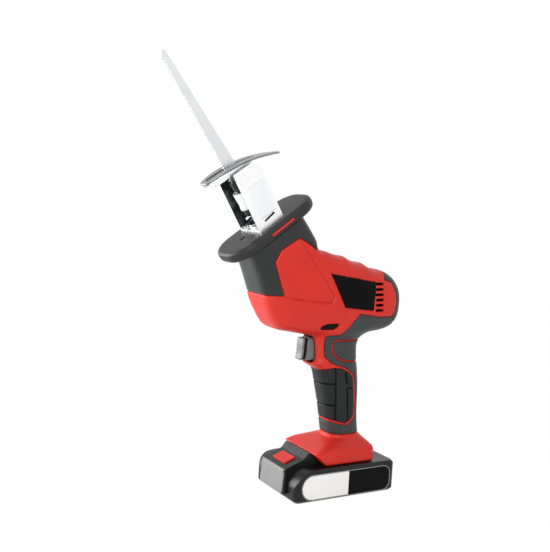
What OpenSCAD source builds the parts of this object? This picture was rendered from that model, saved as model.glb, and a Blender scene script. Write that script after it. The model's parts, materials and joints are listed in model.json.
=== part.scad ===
// Cordless reciprocating saw with a pistol grip and a slide-on battery pack.
// The origin is the middle of the pack's underside: +X is forward, +Y the left side, +Z up.

/* [Battery pack] */
// Length of the pack's main body
pack_l = 118; // [108:1:125]
// Width of the pack's main body
pack_w = 79; // [73:0.5:90]
// Height of the pack's main body
pack_h = 31; // [29:0.5:38]
// Reach of the nose ahead of the main body
nose_l = 5.5; // [4:0.5:10]
// Width of the nose
nose_w = 44; // [40:1:52]
// Wall of the pack's cases
pack_wall = 2.4; // [2:0.1:3]
// Diameter of a cell
cell_d = 18.2; // [17.5:0.1:18.2]
// Length of a cell
cell_l = 65; // [60:0.5:66]
// Width of the slide rail on top of the pack
rail_w = 40; // [36:1:46]
// Height of the slide rail
rail_h = 9; // [8:0.5:10]
// Travel of the release button
button_travel = 2.5; // [1.5:0.5:3]

/* [Foot and handle] */
// Length of the foot along the pack
foot_l = 71; // [68:1:78]
// Width of the foot
foot_w = 66; // [60:1:72]
// Height from the foot's underside to the root of the handle
foot_h = 22.5; // [20:0.5:28]
// Length of the handle from the foot to the body
handle_l = 112; // [104:1:124]
// Rake of the handle from upright
handle_rake = 9.5; // [6:0.5:12]
// Width of the handle
handle_w = 34; // [32:0.5:38]
// Thickness of the rubber grips and boot
rubber_t = 1.8; // [1.4:0.1:2.2]
// Wall of the plastic shell, rubber included
wall = 4.2; // [3.8:0.1:4.6]

/* [Body and head] */
// Reach of the crank axis ahead of the top of the handle
crank_reach = 39.3; // [37:0.5:44]
// Angle of the stroke axis above the horizontal
head_angle = 53.5; // [48:0.5:58]
// Half width of the body beside the motor
body_half = 29; // [28:0.5:32]
// Distance from the crank axis to the back of the front guard
neck_l = 66.5; // [65:0.5:76]
// Length of the front guard across the stroke
guard_l = 103; // [94:1:112]
// Width of the front guard
guard_w = 59; // [56:1:66]
// Thickness of the front guard
guard_t = 11; // [9:0.5:13]

/* [Drive] */
// Stroke of the blade
stroke = 15; // [12:0.5:16]
// Diameter of the plunger
plunger_d = 12; // [11:0.5:13]
// Module of the bevel gears
gear_module = 1.35; // [1.3:0.01:1.38]
// Teeth on the crank gear
gear_teeth = 40; // [40:1:42]
// Teeth on the pinion
pinion_teeth = 9; // [8:1:9]
// Diameter of the motor can
motor_d = 36; // [34:0.5:38]
// Length of the motor can
motor_l = 50; // [46:1:54]
// Tilt of the motor axis down towards the rear
motor_tilt = 5.5; // [4:0.5:7]
// Diameter of the motor shaft
shaft_d = 4; // [3.2:0.2:4.6]

/* [Shoe and blade] */
// Height of the shoe above the front guard
shoe_rise = 68; // [64:0.5:72]
// Width of the shoe
shoe_w = 28; // [27:0.5:29]
// Thickness of the shoe and its bracket
sheet_t = 2; // [1.6:0.1:2.2]
// Radius of the shoe's curve
shoe_r = 155; // [140:5:180]
// Width across the shoe bracket
bracket_w = 40; // [39:0.5:44]
// Length of the blade
blade_l = 157; // [130:1:200]
// Width of the blade at the clamp
blade_w = 12; // [11:0.5:13]
// Thickness of the blade
blade_t = 1.3; // [0.9:0.1:1.5]
// Pitch of the blade's teeth
tooth_pitch = 2.5; // [1.8:0.1:4.2]

/* [Trigger] */
// Height of the trigger
trigger_h = 23; // [20:0.5:24]
// Width of the trigger
trigger_w = 17; // [15:0.5:18]
// Travel of the trigger
trigger_travel = 6; // [4:0.5:7]
// Travel of the lock-off button to either side
lock_travel = 3; // [2:0.5:4]

/* [Fit] */
// Clearance of pieces that seat or slide
gap = 0.3; // [0.2:0.05:0.4]
// Running clearance round turning pieces
run_gap = 0.6; // [0.5:0.1:0.8]

/* [Hidden] */

red = [0.82, 0.16, 0.11];
rubber = [0.24, 0.25, 0.25];
black = [0.1, 0.1, 0.11];
steel = [0.78, 0.79, 0.8];
alloy = [0.66, 0.67, 0.68];
copper = [0.72, 0.45, 0.2];
white = [0.93, 0.94, 0.93];
grey = [0.5, 0.51, 0.52];
$fn = 48;
big = 400;

// Heights and places that follow from the sizes above
foot_z = pack_h + gap;
foot_top = foot_z + foot_h;
handle_x = -15.5;
heel_l = 22.5;
foot_x0 = handle_x - heel_l;
foot_x1 = foot_x0 + foot_l;
body_join = foot_top + handle_l;
crank_x = handle_x + handle_l * tan(handle_rake) + crank_reach;
crank_rise = 38;
crank_z = body_join + crank_rise;
guard_u0 = neck_l;
guard_u1 = neck_l + guard_t;
base_u = guard_u1 + sheet_t;
shoe_u = guard_u1 + shoe_rise;

// Gear layout: the bevel cones share their tip at the crank axis
gear_r = gear_module * gear_teeth / 2;
pinion_r = gear_module * pinion_teeth / 2;
cone_r = norm([gear_r, pinion_r]);
gear_cone = atan(gear_teeth / pinion_teeth);
face_w = 7;
tooth_add = 0.8 * gear_module;
tooth_ded = 1.05 * gear_module;
tooth_half = 0.225 * PI * gear_module;
crank_r = stroke / 2;
pin_d = 4;
gear_back = pinion_r + 6;
drum_in = gear_r + tooth_add + 1.6;
drum_out = drum_in + 2.5;
drum_top = 9.5;
drum_lid = 2.5;
motor_u0 = drum_out + 0.2;
motor_u1 = motor_u0 + motor_l;
bell_l = 11;

// A side-view point from the stroke axis (u along it, w across it), and one from the crank axis
function head(u, w) = [crank_x + u * cos(head_angle) - w * sin(head_angle),
    crank_z + u * sin(head_angle) + w * cos(head_angle)];
function mid(dx, dz) = [crank_x + dx, crank_z + dz];

// The handle's raked middle line, and a side-view point at a share of its height
function handle_z(t) = foot_top + t * handle_l;
function handle_pt(t, dx) = [handle_x + t * handle_l * tan(handle_rake) + dx, handle_z(t)];

// Station of the neck's straight taper at u, which runs back from its end
neck_taper_l = 17;
function neck_station(u) = let (t = (neck_l - u) / neck_taper_l)
    [head(u, -33 - 3.5 * t), head(u, 33 + 0.3 * t), body_half - 3.5 + 0.5 * t, 3];

// Stations of the body's loft: front or lower point, rear or upper point, half width, squareness
body_stations = [
    neck_station(neck_l),
    neck_station(neck_l - neck_taper_l),
    [head(neck_l - 37, -42), head(neck_l - 37, 33), body_half - 2.5, 3.2],
    [mid(46, -16), mid(-11, 39), body_half - 1.5, 3.4],
    [mid(33.5, -36), mid(-23, 38), body_half - 0.8, 3.6],
    [mid(19.5, -40.5), mid(-34, 35), body_half - 0.3, 3.8],
    [mid(0, -44), mid(-45, 32), body_half, 3.8],
    [mid(-21, -46), mid(-56, 29), body_half, 3.6],
    [mid(-44, -48), mid(-69.5, 25), body_half, 3.4],
    [mid(-66, -45), mid(-83, 21), body_half - 0.5, 3.2],
    [mid(-86, -43.5), mid(-95, 17), body_half - 1.5, 3],
    [mid(-99.5, -40.5), mid(-103, 11.5), body_half - 4, 2.8],
    [mid(-107, -35), mid(-108.5, 4), body_half - 9, 2.6],
    [mid(-110, -27), mid(-111, -8), body_half - 18, 2.4]];

// A stretch of the body's stations, counted from the neck
function body_part(first, last) = [for (i = [first : last]) body_stations[i]];
rear_end = len(body_stations) - 1;
barrel_part = body_part(4, 10);

// The neck's stations, and a stretch that runs on past its end for cuts that come out there
run_out = 2;
neck_part = body_part(0, 6);
function cut_part(last) = concat([neck_station(neck_l + run_out)], body_part(1, last));

// Stations of the handle's loft, from the top: share of its height, depths ahead and behind, extra half width
handle_rows = [[1, 28, 44, 8], [0.93, 28.5, 31, 4], [0.85, 29, 24.5, 1.6], [0.77, 29.5, 23, 0.8],
    [0.715, 31, 22.6, 0.6], [0.68, 35, 22.5, 0.5], [0.64, 29, 22.4, 0.5], [0.6, 24.2, 22.2, 0.5],
    [0.455, 22.4, 21, 0.5], [0.3, 20.8, 18.6, 0.2], [0.16, 20.5, 16.8, -0.2], [-0.02, 20, 16, 0]];
handle_stations = [for (r = handle_rows)
    [handle_pt(r[0], r[1]), handle_pt(r[0], -r[2]), handle_w / 2 + r[3], 2.8]];

ring_points = 20;
cavity_points = 12;
function superellipse(a, half_long, half_wide, n) =
    [half_long * sign(cos(a)) * pow(abs(cos(a)), 2 / n), half_wide * sign(sin(a)) * pow(abs(sin(a)), 2 / n)];
function ring(station, inset, count) = let (
        middle = (station[0] + station[1]) / 2,
        across = station[1] - station[0],
        along = across / norm(across))
    [for (i = [0 : count - 1]) let (
            p = superellipse(-360 * i / count, norm(across) / 2 - inset, station[2] - inset, station[3]),
            q = middle + along * p[0])
        [q[0], p[1], q[1]]];

// Triangles between each ring and the next, round the given number of bands
function band_faces(n, bands, rings) = [for (k = [0 : bands - 1], i = [0 : n - 1], half = [0, 1]) let (
        a = k * n + i,
        b = k * n + (i + 1) % n,
        c = ((k + 1) % rings) * n + (i + 1) % n,
        d = ((k + 1) % rings) * n + i)
    half == 0 ? [a, b, c] : [a, c, d]];

// A closed skin through a row of stations
module loft(stations, inset, count = ring_points) {
    points = [for (s = stations, p = ring(s, inset, count)) p];
    last = len(stations) - 1;
    caps = [[for (i = [count - 1 : -1 : 0]) i], [for (i = [0 : count - 1]) last * count + i]];
    polyhedron(points, concat(caps, band_faces(count, last, last + 1)));
}

// A side-view outline spread evenly to both sides
module side(depth) {
    rotate([90, 0, 0]) linear_extrude(height = depth, center = true) children();
}

module in_head() {
    translate([crank_x, 0, crank_z]) rotate([0, -head_angle, 0]) children();
}

module in_motor() {
    translate([crank_x, 0, crank_z]) rotate([0, 180 - motor_tilt, 0]) children();
}

module at_crank() {
    translate([crank_x, 0, crank_z]) children();
}

// Rods along X and along Y between two places
module rod_x(d, x0, x1) {
    translate([x0, 0, 0]) rotate([0, 90, 0]) cylinder(d = d, h = x1 - x0);
}

module rod_y(d, y0, y1) {
    translate([0, y1, 0]) rotate([90, 0, 0]) cylinder(d = d, h = y1 - y0);
}

module tube_x(d, bore, x0, x1) {
    difference() {
        rod_x(d, x0, x1);
        rod_x(bore, x0 - 1, x1 + 1);
    }
}

module tube_y(d, bore, y0, y1) {
    difference() {
        rod_y(d, y0, y1);
        rod_y(bore, y0 - 1, y1 + 1);
    }
}

// A flat rounded rectangle about the origin
module rounded(size_x, size_y, r) {
    square([size_x - 2 * r, size_y], center = true);
    square([size_x, size_y - 2 * r], center = true);
    for (x = [-1, 1], y = [-1, 1])
        translate([x * (size_x / 2 - r), y * (size_y / 2 - r)]) circle(r);
}

// A rounded stroke of even width along side-view points
module stripe(points, width) {
    for (i = [0 : len(points) - 2]) hull() {
        translate(points[i]) circle(d = width, $fn = 8);
        translate(points[i + 1]) circle(d = width, $fn = 8);
    }
}

// The foot: a plan that stands upright, then leans in to the handle's root
foot_wall_h = 11.5;
foot_lean_h = 3;
module foot() {
    middle = (foot_x0 + foot_x1) / 2;
    difference() {
        hull() {
            translate([middle, 0, foot_z]) linear_extrude(foot_wall_h) rounded(foot_l, foot_w, 7, $fn = 24);
            translate([middle - 3.5, 0, foot_z]) linear_extrude(foot_wall_h + foot_lean_h)
                rounded(foot_l - 8, foot_w - 5, 6, $fn = 24);
            translate([handle_x - 1, 0, foot_z]) linear_extrude(foot_h) rounded(33, handle_w, 12, $fn = 24);
        }
        side(big)
            polygon([[foot_x1 - 13, foot_z - 1], [foot_x1 + 1, foot_z + 13], [foot_x1 + 9, foot_z - 1]]);
    }
}

module outer(inset) {
    loft(body_stations, inset);
    loft(handle_stations, inset);
}

// Side-view zones of the rubber pieces
boot_zone = [head(neck_l + 5, -70), head(neck_l - 20.5, -70), head(neck_l - 50.5, -29),
    head(neck_l - 18.5, -19), head(neck_l - 13, -7.5), head(neck_l - 15, 15), head(neck_l - 26, 20.5),
    head(neck_l - 38, 25.5), head(neck_l - 46, 40), head(neck_l - 46, 70), head(neck_l + 5, 70)];
cap_zone = [mid(-150, 60), mid(-78, 60), mid(-81, 12), mid(-95, 4), mid(-99, -10), mid(-96, -26.5),
    mid(-150, -26.5)];
grip_zone = [mid(-150, -26.5), mid(-96, -26.5), mid(-78, -26.5), mid(-54, -22.5), mid(-37, -41.5),
    mid(-29, -45), mid(-24, -46), handle_pt(0.73, 18.4), handle_pt(0.685, 14), handle_pt(0.65, 6.3),
    handle_pt(0.632, 5.7), handle_pt(0.642, 11), handle_pt(0.625, 20.5), handle_pt(0.605, 29.5),
    handle_pt(0.605, 60), handle_pt(0.02, 60), handle_pt(0.02, -60), handle_pt(0.6, -60)];
red_line = [handle_pt(0.642, 6), handle_pt(0.598, -3.4), handle_pt(0.552, -10.2), handle_pt(0.505, -13),
    handle_pt(0.32, -11.5), handle_pt(0.19, -11), handle_pt(0.145, -8.8), handle_pt(0.085, 0.4),
    handle_pt(0.122, 15), handle_pt(0.19, 40)];
red_line_w = 2.6;
panel_zone = [head(neck_l - 17.5, -20), head(neck_l - 12, -7.5), head(neck_l - 14, 14),
    head(neck_l - 25, 19.5), head(neck_l - 37, 23.5), mid(-22, 1), mid(-30, -14), mid(-20, -14.5),
    mid(19, -8), mid(32, -4)];
name_zone = [mid(-18, 16.3), mid(-71.3, 8), mid(-70.3, -19), mid(-36.3, -15.5)];
panel_rise = 0.7;
name_depth = 1.2;
name_sink = 0.2;
name_fit = 0.25;

// The space of a rubber piece: a zone outside the shell's own surface
module rubber_room(zone) {
    difference() {
        side(big) polygon(zone);
        outer(rubber_t);
    }
}

module grip_room() {
    difference() {
        rubber_room(grip_zone);
        side(big) stripe(red_line, red_line_w);
    }
}

module boot_room() {
    difference() {
        side(big) polygon(boot_zone);
        loft(cut_part(6), rubber_t);
    }
}

// The shell stops short of the cap's round end
module cap_room() {
    difference() {
        side(big) polygon(cap_zone);
        loft(body_part(7, rear_end - 1), rubber_t);
    }
}

module grip_skins() {
    difference() {
        intersection() {
            outer(0);
            grip_room();
        }
        trigger_pocket();
    }
}

module name_room(depth, grow) {
    difference() {
        side(big) offset(delta = grow) polygon(name_zone);
        loft(barrel_part, depth);
    }
}

// Places of the housing screws in the side view
screw_places = [mid(38, -21), mid(-27, 28), mid(-62, 18), mid(-100, -28), mid(-49, -30), handle_pt(0.4, -6),
    handle_pt(0.12, -2)];
boss_d = 9;
screw_d = 3.6;
head_d = 6.4;
head_y = -12;

module at_screws() {
    for (p = screw_places) translate([p[0], 0, p[1]]) children();
}

// Ribs inside the shell that carry the gear case, motor and switch
rib_t = 3;
nose_d = 26;
module ribs() {
    in_head() for (u = [neck_l - 22, neck_l - 6])
        difference() {
            translate([u, -50, -60]) cube([rib_t, 100, 120]);
            rod_x(nose_d + 2 * gap, u - 1, u + rib_t + 1, $fn = 32);
        }
    in_motor() for (u = [motor_u0 + 12, motor_u1 - 9])
        difference() {
            translate([u, -50, -35]) cube([rib_t, 100, 62]);
            rod_x(motor_d + 2 * gap, u - 1, u + rib_t + 1, $fn = 32);
        }
    for (z = [switch_z0 - rib_t, switch_z1])
        translate([handle_x - 30, -50, z]) cube([45, 100, rib_t]);
}

module shell_cavity() {
    difference() {
        union() {
            loft(cut_part(rear_end - 2), wall, cavity_points);
            loft(handle_stations, wall, cavity_points);
            at_crank() {
                rod_y(2 * drum_out + 2 * gap, cover_y - cover_t - gap, drum_top + drum_lid + gap, $fn = 36);
                rod_y(bearing_d + 2 * boss_t + 2 * gap, cover_y0 - gap, cover_y, $fn = 24);
            }
        }
        ribs();
        at_screws() rod_y(boss_d, -50, 50, $fn = 12);
        translate([-big / 2, -big / 2, 0]) cube([big, big, foot_z + foot_wall_h + 4]);
    }
}

// Slide channel of the foot, which hooks under the pack's rail
channel_x0 = foot_x0 + 9;
rail_neck = 3.5;
rail_wing_z = 4.6;
module foot_channel() {
    translate([channel_x0, -rail_w / 2 - gap, foot_z + rail_wing_z])
        cube([foot_l, rail_w + 2 * gap, rail_h - rail_wing_z]);
    translate([channel_x0, -rail_w / 2 + rail_neck - gap, foot_z - 1])
        cube([foot_l, rail_w - 2 * rail_neck + 2 * gap, rail_h]);
}

// Vent slots beside the motor's rear end
vent_n = 6;
vent_pitch = 5.3;
vent_l = 8.6;
vent_h = 2.6;
module vents() {
    for (i = [0 : vent_n - 1])
        translate([crank_x - 77 + 0.2 * i, 0, crank_z - 6.7 + (i - (vent_n - 1) / 2) * vent_pitch])
            cube([vent_l, big, vent_h], center = true);
}

// Shallow finger scallops along the top of the barrel
scallop_r = 11;
scallop_depth = 1.1;
module scallops() {
    for (p = [[-31, 36.8], [-44, 33.4], [-57, 29.8], [-70, 25.8]])
        translate([crank_x + p[0], 0, crank_z + p[1] + scallop_r - scallop_depth])
            rod_y(2 * scallop_r, -50, 50, $fn = 40);
}

lock_l = 17;
lock_reach = body_half - 3.1 - lock_travel / 2;
lock_h = 5.2;
lock_lean = 3;
module lock_outline(grow) {
    translate(mid(-21.5, -35.5)) offset(delta = grow)
        polygon([[-lock_l / 2 - lock_lean, lock_h / 2], [lock_l / 2 - lock_lean, lock_h / 2 - 1],
            [lock_l / 2 + lock_lean, -lock_h / 2 - 1], [-lock_l / 2 + lock_lean, -lock_h / 2]]);
}

// The trigger's place, and the pocket that it slides in
trigger_z1 = crank_z - 48.5;
trigger_z0 = trigger_z1 - trigger_h;
trigger_x0 = handle_pt((trigger_z0 - foot_top) / handle_l, 0)[0] + 20;
switch_z0 = trigger_z0 - 1;
switch_z1 = trigger_z1 - 2;
trigger_root = 4;
switch_x1 = trigger_x0 - trigger_root - trigger_travel - gap;
module trigger_pocket() {
    translate([switch_x1, -trigger_w / 2 - gap, trigger_z0 - gap])
        cube([60, trigger_w + 2 * gap, trigger_h + 2 * gap]);
}

module housing() {
    difference() {
        union() {
            outer(0);
            foot();
            intersection() {
                loft(body_stations, -panel_rise);
                side(big) polygon(panel_zone);
            }
        }
        boot_room();
        cap_room();
        grip_room();
        name_room(name_depth, 0);
        shell_cavity();
        foot_channel();
        vents();
        scallops();
        trigger_pocket();
        side(big) lock_outline(gap);
        in_head() rod_x(nose_d + 2 * gap, neck_l - 10, neck_l + 10);
        at_screws() {
            rod_y(screw_d + 2 * gap, -50, 9, $fn = 12);
            rod_y(head_d + 2 * gap, -50, head_y + 2.4, $fn = 12);
        }
    }
}

module half(sign_y) {
    intersection() {
        children();
        translate([-big / 2, sign_y > 0 ? 0 : -big / 2, 0]) cube([big, big / 2, 2 * big]);
    }
}

module left_housing() {
    color(red) half(1) housing();
}

module right_housing() {
    color(red) half(-1) housing();
}

module left_grip() {
    color(rubber) half(1) grip_skins();
}

module right_grip() {
    color(rubber) half(-1) grip_skins();
}

module nose_boot() {
    color(rubber) intersection() {
        loft(neck_part, 0);
        boot_room();
    }
}

module rear_cap() {
    color(rubber) difference() {
        intersection() {
            loft(body_part(7, rear_end), 0);
            cap_room();
        }
        scallops();
    }
}

// Front guard: a thick rounded plate at the end of the neck
guard_r = 24;
guard_chamfer = 2;
module front_guard() {
    color(rubber) in_head() difference() {
        hull() for (inset = [0, guard_chamfer])
            translate([guard_u0 + guard_chamfer - inset, 0, 0.5]) rotate([0, 90, 0])
                linear_extrude(guard_t - 2 * guard_chamfer + 2 * inset)
                    rounded(guard_l - 2 * inset, guard_w - 2 * inset, guard_r - inset, $fn = 32);
        rod_x(plunger_d + 2 * run_gap, guard_u0 - 1, guard_u1 + 1);
        guard_slots(0);
        translate([guard_u1, 0, -25]) cube([5, 2.4, 6], center = true);
        at_bracket_screws() rod_x(bracket_screw_d, guard_u1 - 8, guard_u1 + 1);
    }
}

insert_l = 28;
insert_h = 2.2;
insert_t = 1.2;
module guard_slots(clear) {
    for (y = [-1, 1])
        translate([guard_u0 + guard_t / 2, y * (guard_w / 2 - insert_t / 2), 4])
            cube([insert_h - 2 * clear, insert_t - clear, insert_l - 2 * clear], center = true);
}

module guard_inserts() {
    color(red) in_head() guard_slots(0.1);
}

module name_panels() {
    color(black) intersection() {
        loft(barrel_part, name_sink);
        name_room(name_depth, -name_fit);
    }
}

module housing_screws() {
    color(steel) at_screws() {
        rod_y(screw_d, head_y, 8);
        difference() {
            rod_y(head_d, head_y, head_y + 2.2);
            rod_y(3, head_y - 1, head_y + 1, $fn = 6);
        }
    }
}

// Gear case: a round drum about the crank axis with a tubular nose and a motor seat
cover_y = -gear_back - 6;
bush_d = plunger_d + 5;
bush_l = 8;
module gear_case() {
    color(alloy) difference() {
        union() {
            at_crank() rod_y(2 * drum_out, cover_y, drum_top + drum_lid);
            in_head() rod_x(nose_d, drum_in - 4, neck_l - gap);
            in_motor() rod_x(motor_d - 4, drum_in - 6, motor_u0);
        }
        at_crank() rod_y(2 * drum_in, cover_y - 1, drum_top);
        in_head() rod_x(bush_d, 0, neck_l + 1);
        in_motor() rod_x(2 * pinion_r + 2 * tooth_add + 2 * run_gap, 0, motor_u0 + 1);
    }
}

bearing_d = 16;
bearing_w = 4;
axle_d = 8;
boss_t = 2.5;
cover_t = 3;
bearing_y = [cover_y - bearing_w - 0.4, cover_y];
cover_y0 = bearing_y[0] - 1.2;
module gear_cover() {
    color(alloy) at_crank() difference() {
        union() {
            rod_y(2 * drum_out, cover_y - cover_t, cover_y);
            rod_y(2 * drum_in - 2 * gap, cover_y - 1, cover_y + 1.5);
            rod_y(bearing_d + 2 * boss_t, cover_y0, bearing_y[1] + bearing_w);
        }
        rod_y(bearing_d, bearing_y[0], cover_y + 20);
    }
}

module plunger_bushes() {
    color(copper) in_head() for (u = [neck_l - 2 * bush_l - 4, neck_l - bush_l - 1.5])
        tube_x(bush_d, plunger_d + 0.1, u, u + bush_l);
}

seal_h = 4;
seal_d = 24;
seal_neck_d = 19;
module front_seal() {
    color(steel) in_head() difference() {
        union() {
            rod_x(seal_d, base_u, base_u + seal_h);
            rod_x(seal_neck_d, guard_u1, base_u + 1);
        }
        rod_x(plunger_d + 0.1, guard_u1 - 2, base_u + seal_h + 1);
    }
}

module crank_bearings() {
    color(steel) at_crank() for (y = bearing_y)
        tube_y(bearing_d, axle_d + 0.1, y, y + bearing_w);
}

// Crank hub: the axle, the disc behind the gear and the crank's web
hub_r = (cone_r - face_w) * sin(gear_cone) - tooth_ded - 1.4;
module crank_hub() {
    color(steel) at_crank() difference() {
        union() {
            rod_y(axle_d, bearing_y[0], -gear_back);
            rod_y(2 * hub_r, -gear_back, -pinion_r - 1);
            rod_y(2 * gear_r - 6, -gear_back - 1.4, -gear_back);
        }
        translate([crank_r, 0, 0]) rod_y(pin_d, -gear_back - 2, 0);
    }
}

module crank_pin() {
    color(steel) at_crank() translate([crank_r, 0, 0]) rod_y(pin_d, -gear_back - 1.4, yoke_y0 - 0.4);
}

// A point of a bevel tooth: cone distance, turn about the axis, height over the pitch cone
function bevel_pt(r, turn, rise, cone) = let (
        out = r * sin(cone) + rise * cos(cone),
        deep = r * cos(cone) - rise * sin(cone))
    [out * cos(turn), out * sin(turn), deep];
function tooth_ring(r, shape, teeth, cone, scale_h) =
    [for (i = [0 : teeth - 1], p = shape) bevel_pt(r, 360 * i / teeth + p[0], p[1] * scale_h, cone)];
function circle_ring(r, z, points) = [for (p = points) let (flat = [p[0], p[1]] * r / norm([p[0], p[1]]))
    [flat[0], flat[1], z]];

// A bevel gear about Z whose pitch cone has its tip at the origin
module bevel(shape, teeth, cone, bore_r, back_r, back) {
    inner = (cone_r - face_w) / cone_r;
    front_ring = tooth_ring(cone_r * inner, shape, teeth, cone, inner);
    outer_ring = tooth_ring(cone_r, shape, teeth, cone, 1);
    n = len(outer_ring);
    front = (cone_r - face_w) * cos(cone) + tooth_ded * inner * sin(cone);
    points = concat(front_ring, outer_ring, circle_ring(back_r, back, outer_ring),
        circle_ring(bore_r, back, outer_ring), circle_ring(bore_r, front, outer_ring));
    polyhedron(points, band_faces(n, 5, 5));
}

function angle_of(width, r) = width / r * 180 / PI;
module crank_gear() {
    slope = tan(20);
    shape = [[-angle_of(tooth_half + tooth_ded * slope, gear_r), -tooth_ded],
        [-angle_of(tooth_half - tooth_add * slope, gear_r), tooth_add],
        [angle_of(tooth_half - tooth_add * slope, gear_r), tooth_add],
        [angle_of(tooth_half + tooth_ded * slope, gear_r), -tooth_ded]];
    mesh_turn = 180 + motor_tilt + 180 / gear_teeth;
    color(steel) at_crank() rotate([90, 0, 0]) rotate([0, 0, mesh_turn])
        bevel(shape, gear_teeth, gear_cone, hub_r + 0.1, gear_r, gear_back);
}

module pinion() {
    root = angle_of(tooth_half, pinion_r);
    tip = 0.45 * root;
    shape = [[-root, -tooth_ded], [-root, 0], [-tip, tooth_add], [tip, tooth_add], [root, 0],
        [root, -tooth_ded]];
    color(steel) in_motor() rotate([0, 90, 0]) rotate([0, 0, -90])
        bevel(shape, pinion_teeth, 90 - gear_cone, shaft_d / 2 + 0.1, pinion_r - tooth_ded, gear_r + 2);
}

// Motor: steel can with two magnets, a plastic end bell, and the rotor between two bearings
can_t = 1.2;
boss_l = 2;
bearing_bore = shaft_d + 0.1;
front_bearing_d = 11;
rear_bearing_d = 10;
module motor_can() {
    color(alloy) in_motor() difference() {
        union() {
            rod_x(motor_d, motor_u0, motor_u1);
            rod_x(front_bearing_d + 2.4, motor_u0 - boss_l, motor_u0 + 1);
        }
        rod_x(motor_d - 2 * can_t, motor_u0 + can_t, motor_u1 + 1);
        rod_x(front_bearing_d, motor_u0 - boss_l - 1, motor_u0 + 2);
    }
}

magnet_t = 3.4;
magnet_l = 34;
stack_u = motor_u0 + 10;
stack_l = 28;
module motor_magnets() {
    color(black) in_motor() difference() {
        tube_x(motor_d - 2 * can_t, motor_d - 2 * can_t - 2 * magnet_t, stack_u - 3, stack_u - 3 + magnet_l);
        translate([motor_u0, -5, -30]) cube([motor_l, 10, 60]);
    }
}

module end_bell() {
    color(black) in_motor() difference() {
        union() {
            rod_x(motor_d, motor_u1, motor_u1 + bell_l - 3);
            rod_x(motor_d - 8, motor_u1 + 1, motor_u1 + bell_l);
        }
        rod_x(motor_d - 5, motor_u1 - 1, motor_u1 + bell_l - 4.4);
        rod_x(rear_bearing_d, motor_u1 - 1, motor_u1 + bell_l - 1);
        rod_x(shaft_d + 1, motor_u1 - 1, motor_u1 + bell_l + 1);
    }
}

commutator_d = 11;
module motor_brushes() {
    reach = motor_d / 2 - 2.5 - commutator_d / 2 - 2 * gap;
    color(copper) in_motor() for (turn = [0, 180]) rotate([turn, 0, 0])
        translate([motor_u1 + 0.6, -2, commutator_d / 2 + gap]) cube([5, 4, reach]);
}

module motor_bearings() {
    color(steel) in_motor() {
        tube_x(front_bearing_d, bearing_bore, motor_u0 - boss_l, motor_u0 + can_t);
        tube_x(rear_bearing_d, bearing_bore, motor_u1 + bell_l - 4.4, motor_u1 + bell_l - 1);
    }
}

module motor_shaft() {
    color(steel) in_motor() rod_x(shaft_d, (cone_r - face_w) * sin(gear_cone) - 2, motor_u1 + bell_l - 1.4);
}

armature_d = motor_d - 2 * can_t - 2 * magnet_t - 2 * run_gap;
pole_n = 5;
module armature() {
    color(steel) in_motor() difference() {
        tube_x(armature_d, shaft_d, stack_u, stack_u + stack_l);
        for (i = [0 : pole_n - 1]) rotate([360 * i / pole_n, 0, 0]) {
            translate([stack_u - 1, -1.1, armature_d / 2 - 3]) cube([stack_l + 2, 2.2, 5]);
            translate([0, 0, armature_d / 2 - 4.6]) rod_x(5, stack_u - 1, stack_u + stack_l + 1);
        }
    }
}

module windings() {
    color(copper) in_motor() for (u = [stack_u - 3.4, stack_u + stack_l])
        tube_x(armature_d - 4, shaft_d, u, u + 3.4);
}

module commutator() {
    color(copper) in_motor() difference() {
        tube_x(commutator_d, shaft_d, motor_u1 - 2, motor_u1 + 6);
        for (i = [0 : pole_n - 1]) rotate([360 * (i + 0.5) / pole_n, 0, 0])
            translate([motor_u1 - 3, -0.3, commutator_d / 2 - 0.6]) cube([10, 0.6, 2]);
    }
}

vane_n = 9;
fan_d = motor_d - 2 * can_t - 3;
module cooling_fan() {
    color(black) in_motor() {
        tube_x(fan_d, shaft_d, motor_u0 + can_t + 1, motor_u0 + can_t + 2);
        for (i = [0 : vane_n - 1]) rotate([360 * i / vane_n, 0, 0])
            translate([motor_u0 + can_t + 1.5, -0.5, 5]) cube([3, 1, fan_d / 2 - 6]);
    }
}

// Plunger: a flat bar with a cross slot behind, and a round rod through the bushes
yoke_y0 = -1.6;
yoke_y1 = 4.4;
yoke_r = pin_d / 2 + 2.6;
flat_u = gear_r + tooth_add + stroke / 2 + 1;
clamp_u = base_u + seal_h + stroke / 2 + 0.8;
module plunger() {
    color(steel) in_head() {
        difference() {
            union() {
                translate([0, (yoke_y0 + yoke_y1) / 2, 0]) side(yoke_y1 - yoke_y0) {
                    square([2 * yoke_r, stroke], center = true);
                    for (w = [-1, 1]) translate([0, w * crank_r]) circle(yoke_r);
                    translate([0, -plunger_d / 2]) square([flat_u + 0.5, plunger_d]);
                }
                rod_x(plunger_d, flat_u, clamp_u + 4);
            }
            side(big) {
                square([pin_d + 2 * gap, stroke], center = true);
                for (w = [-1, 1]) translate([0, w * crank_r]) circle(d = pin_d + 2 * gap);
            }
        }
    }
}

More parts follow.
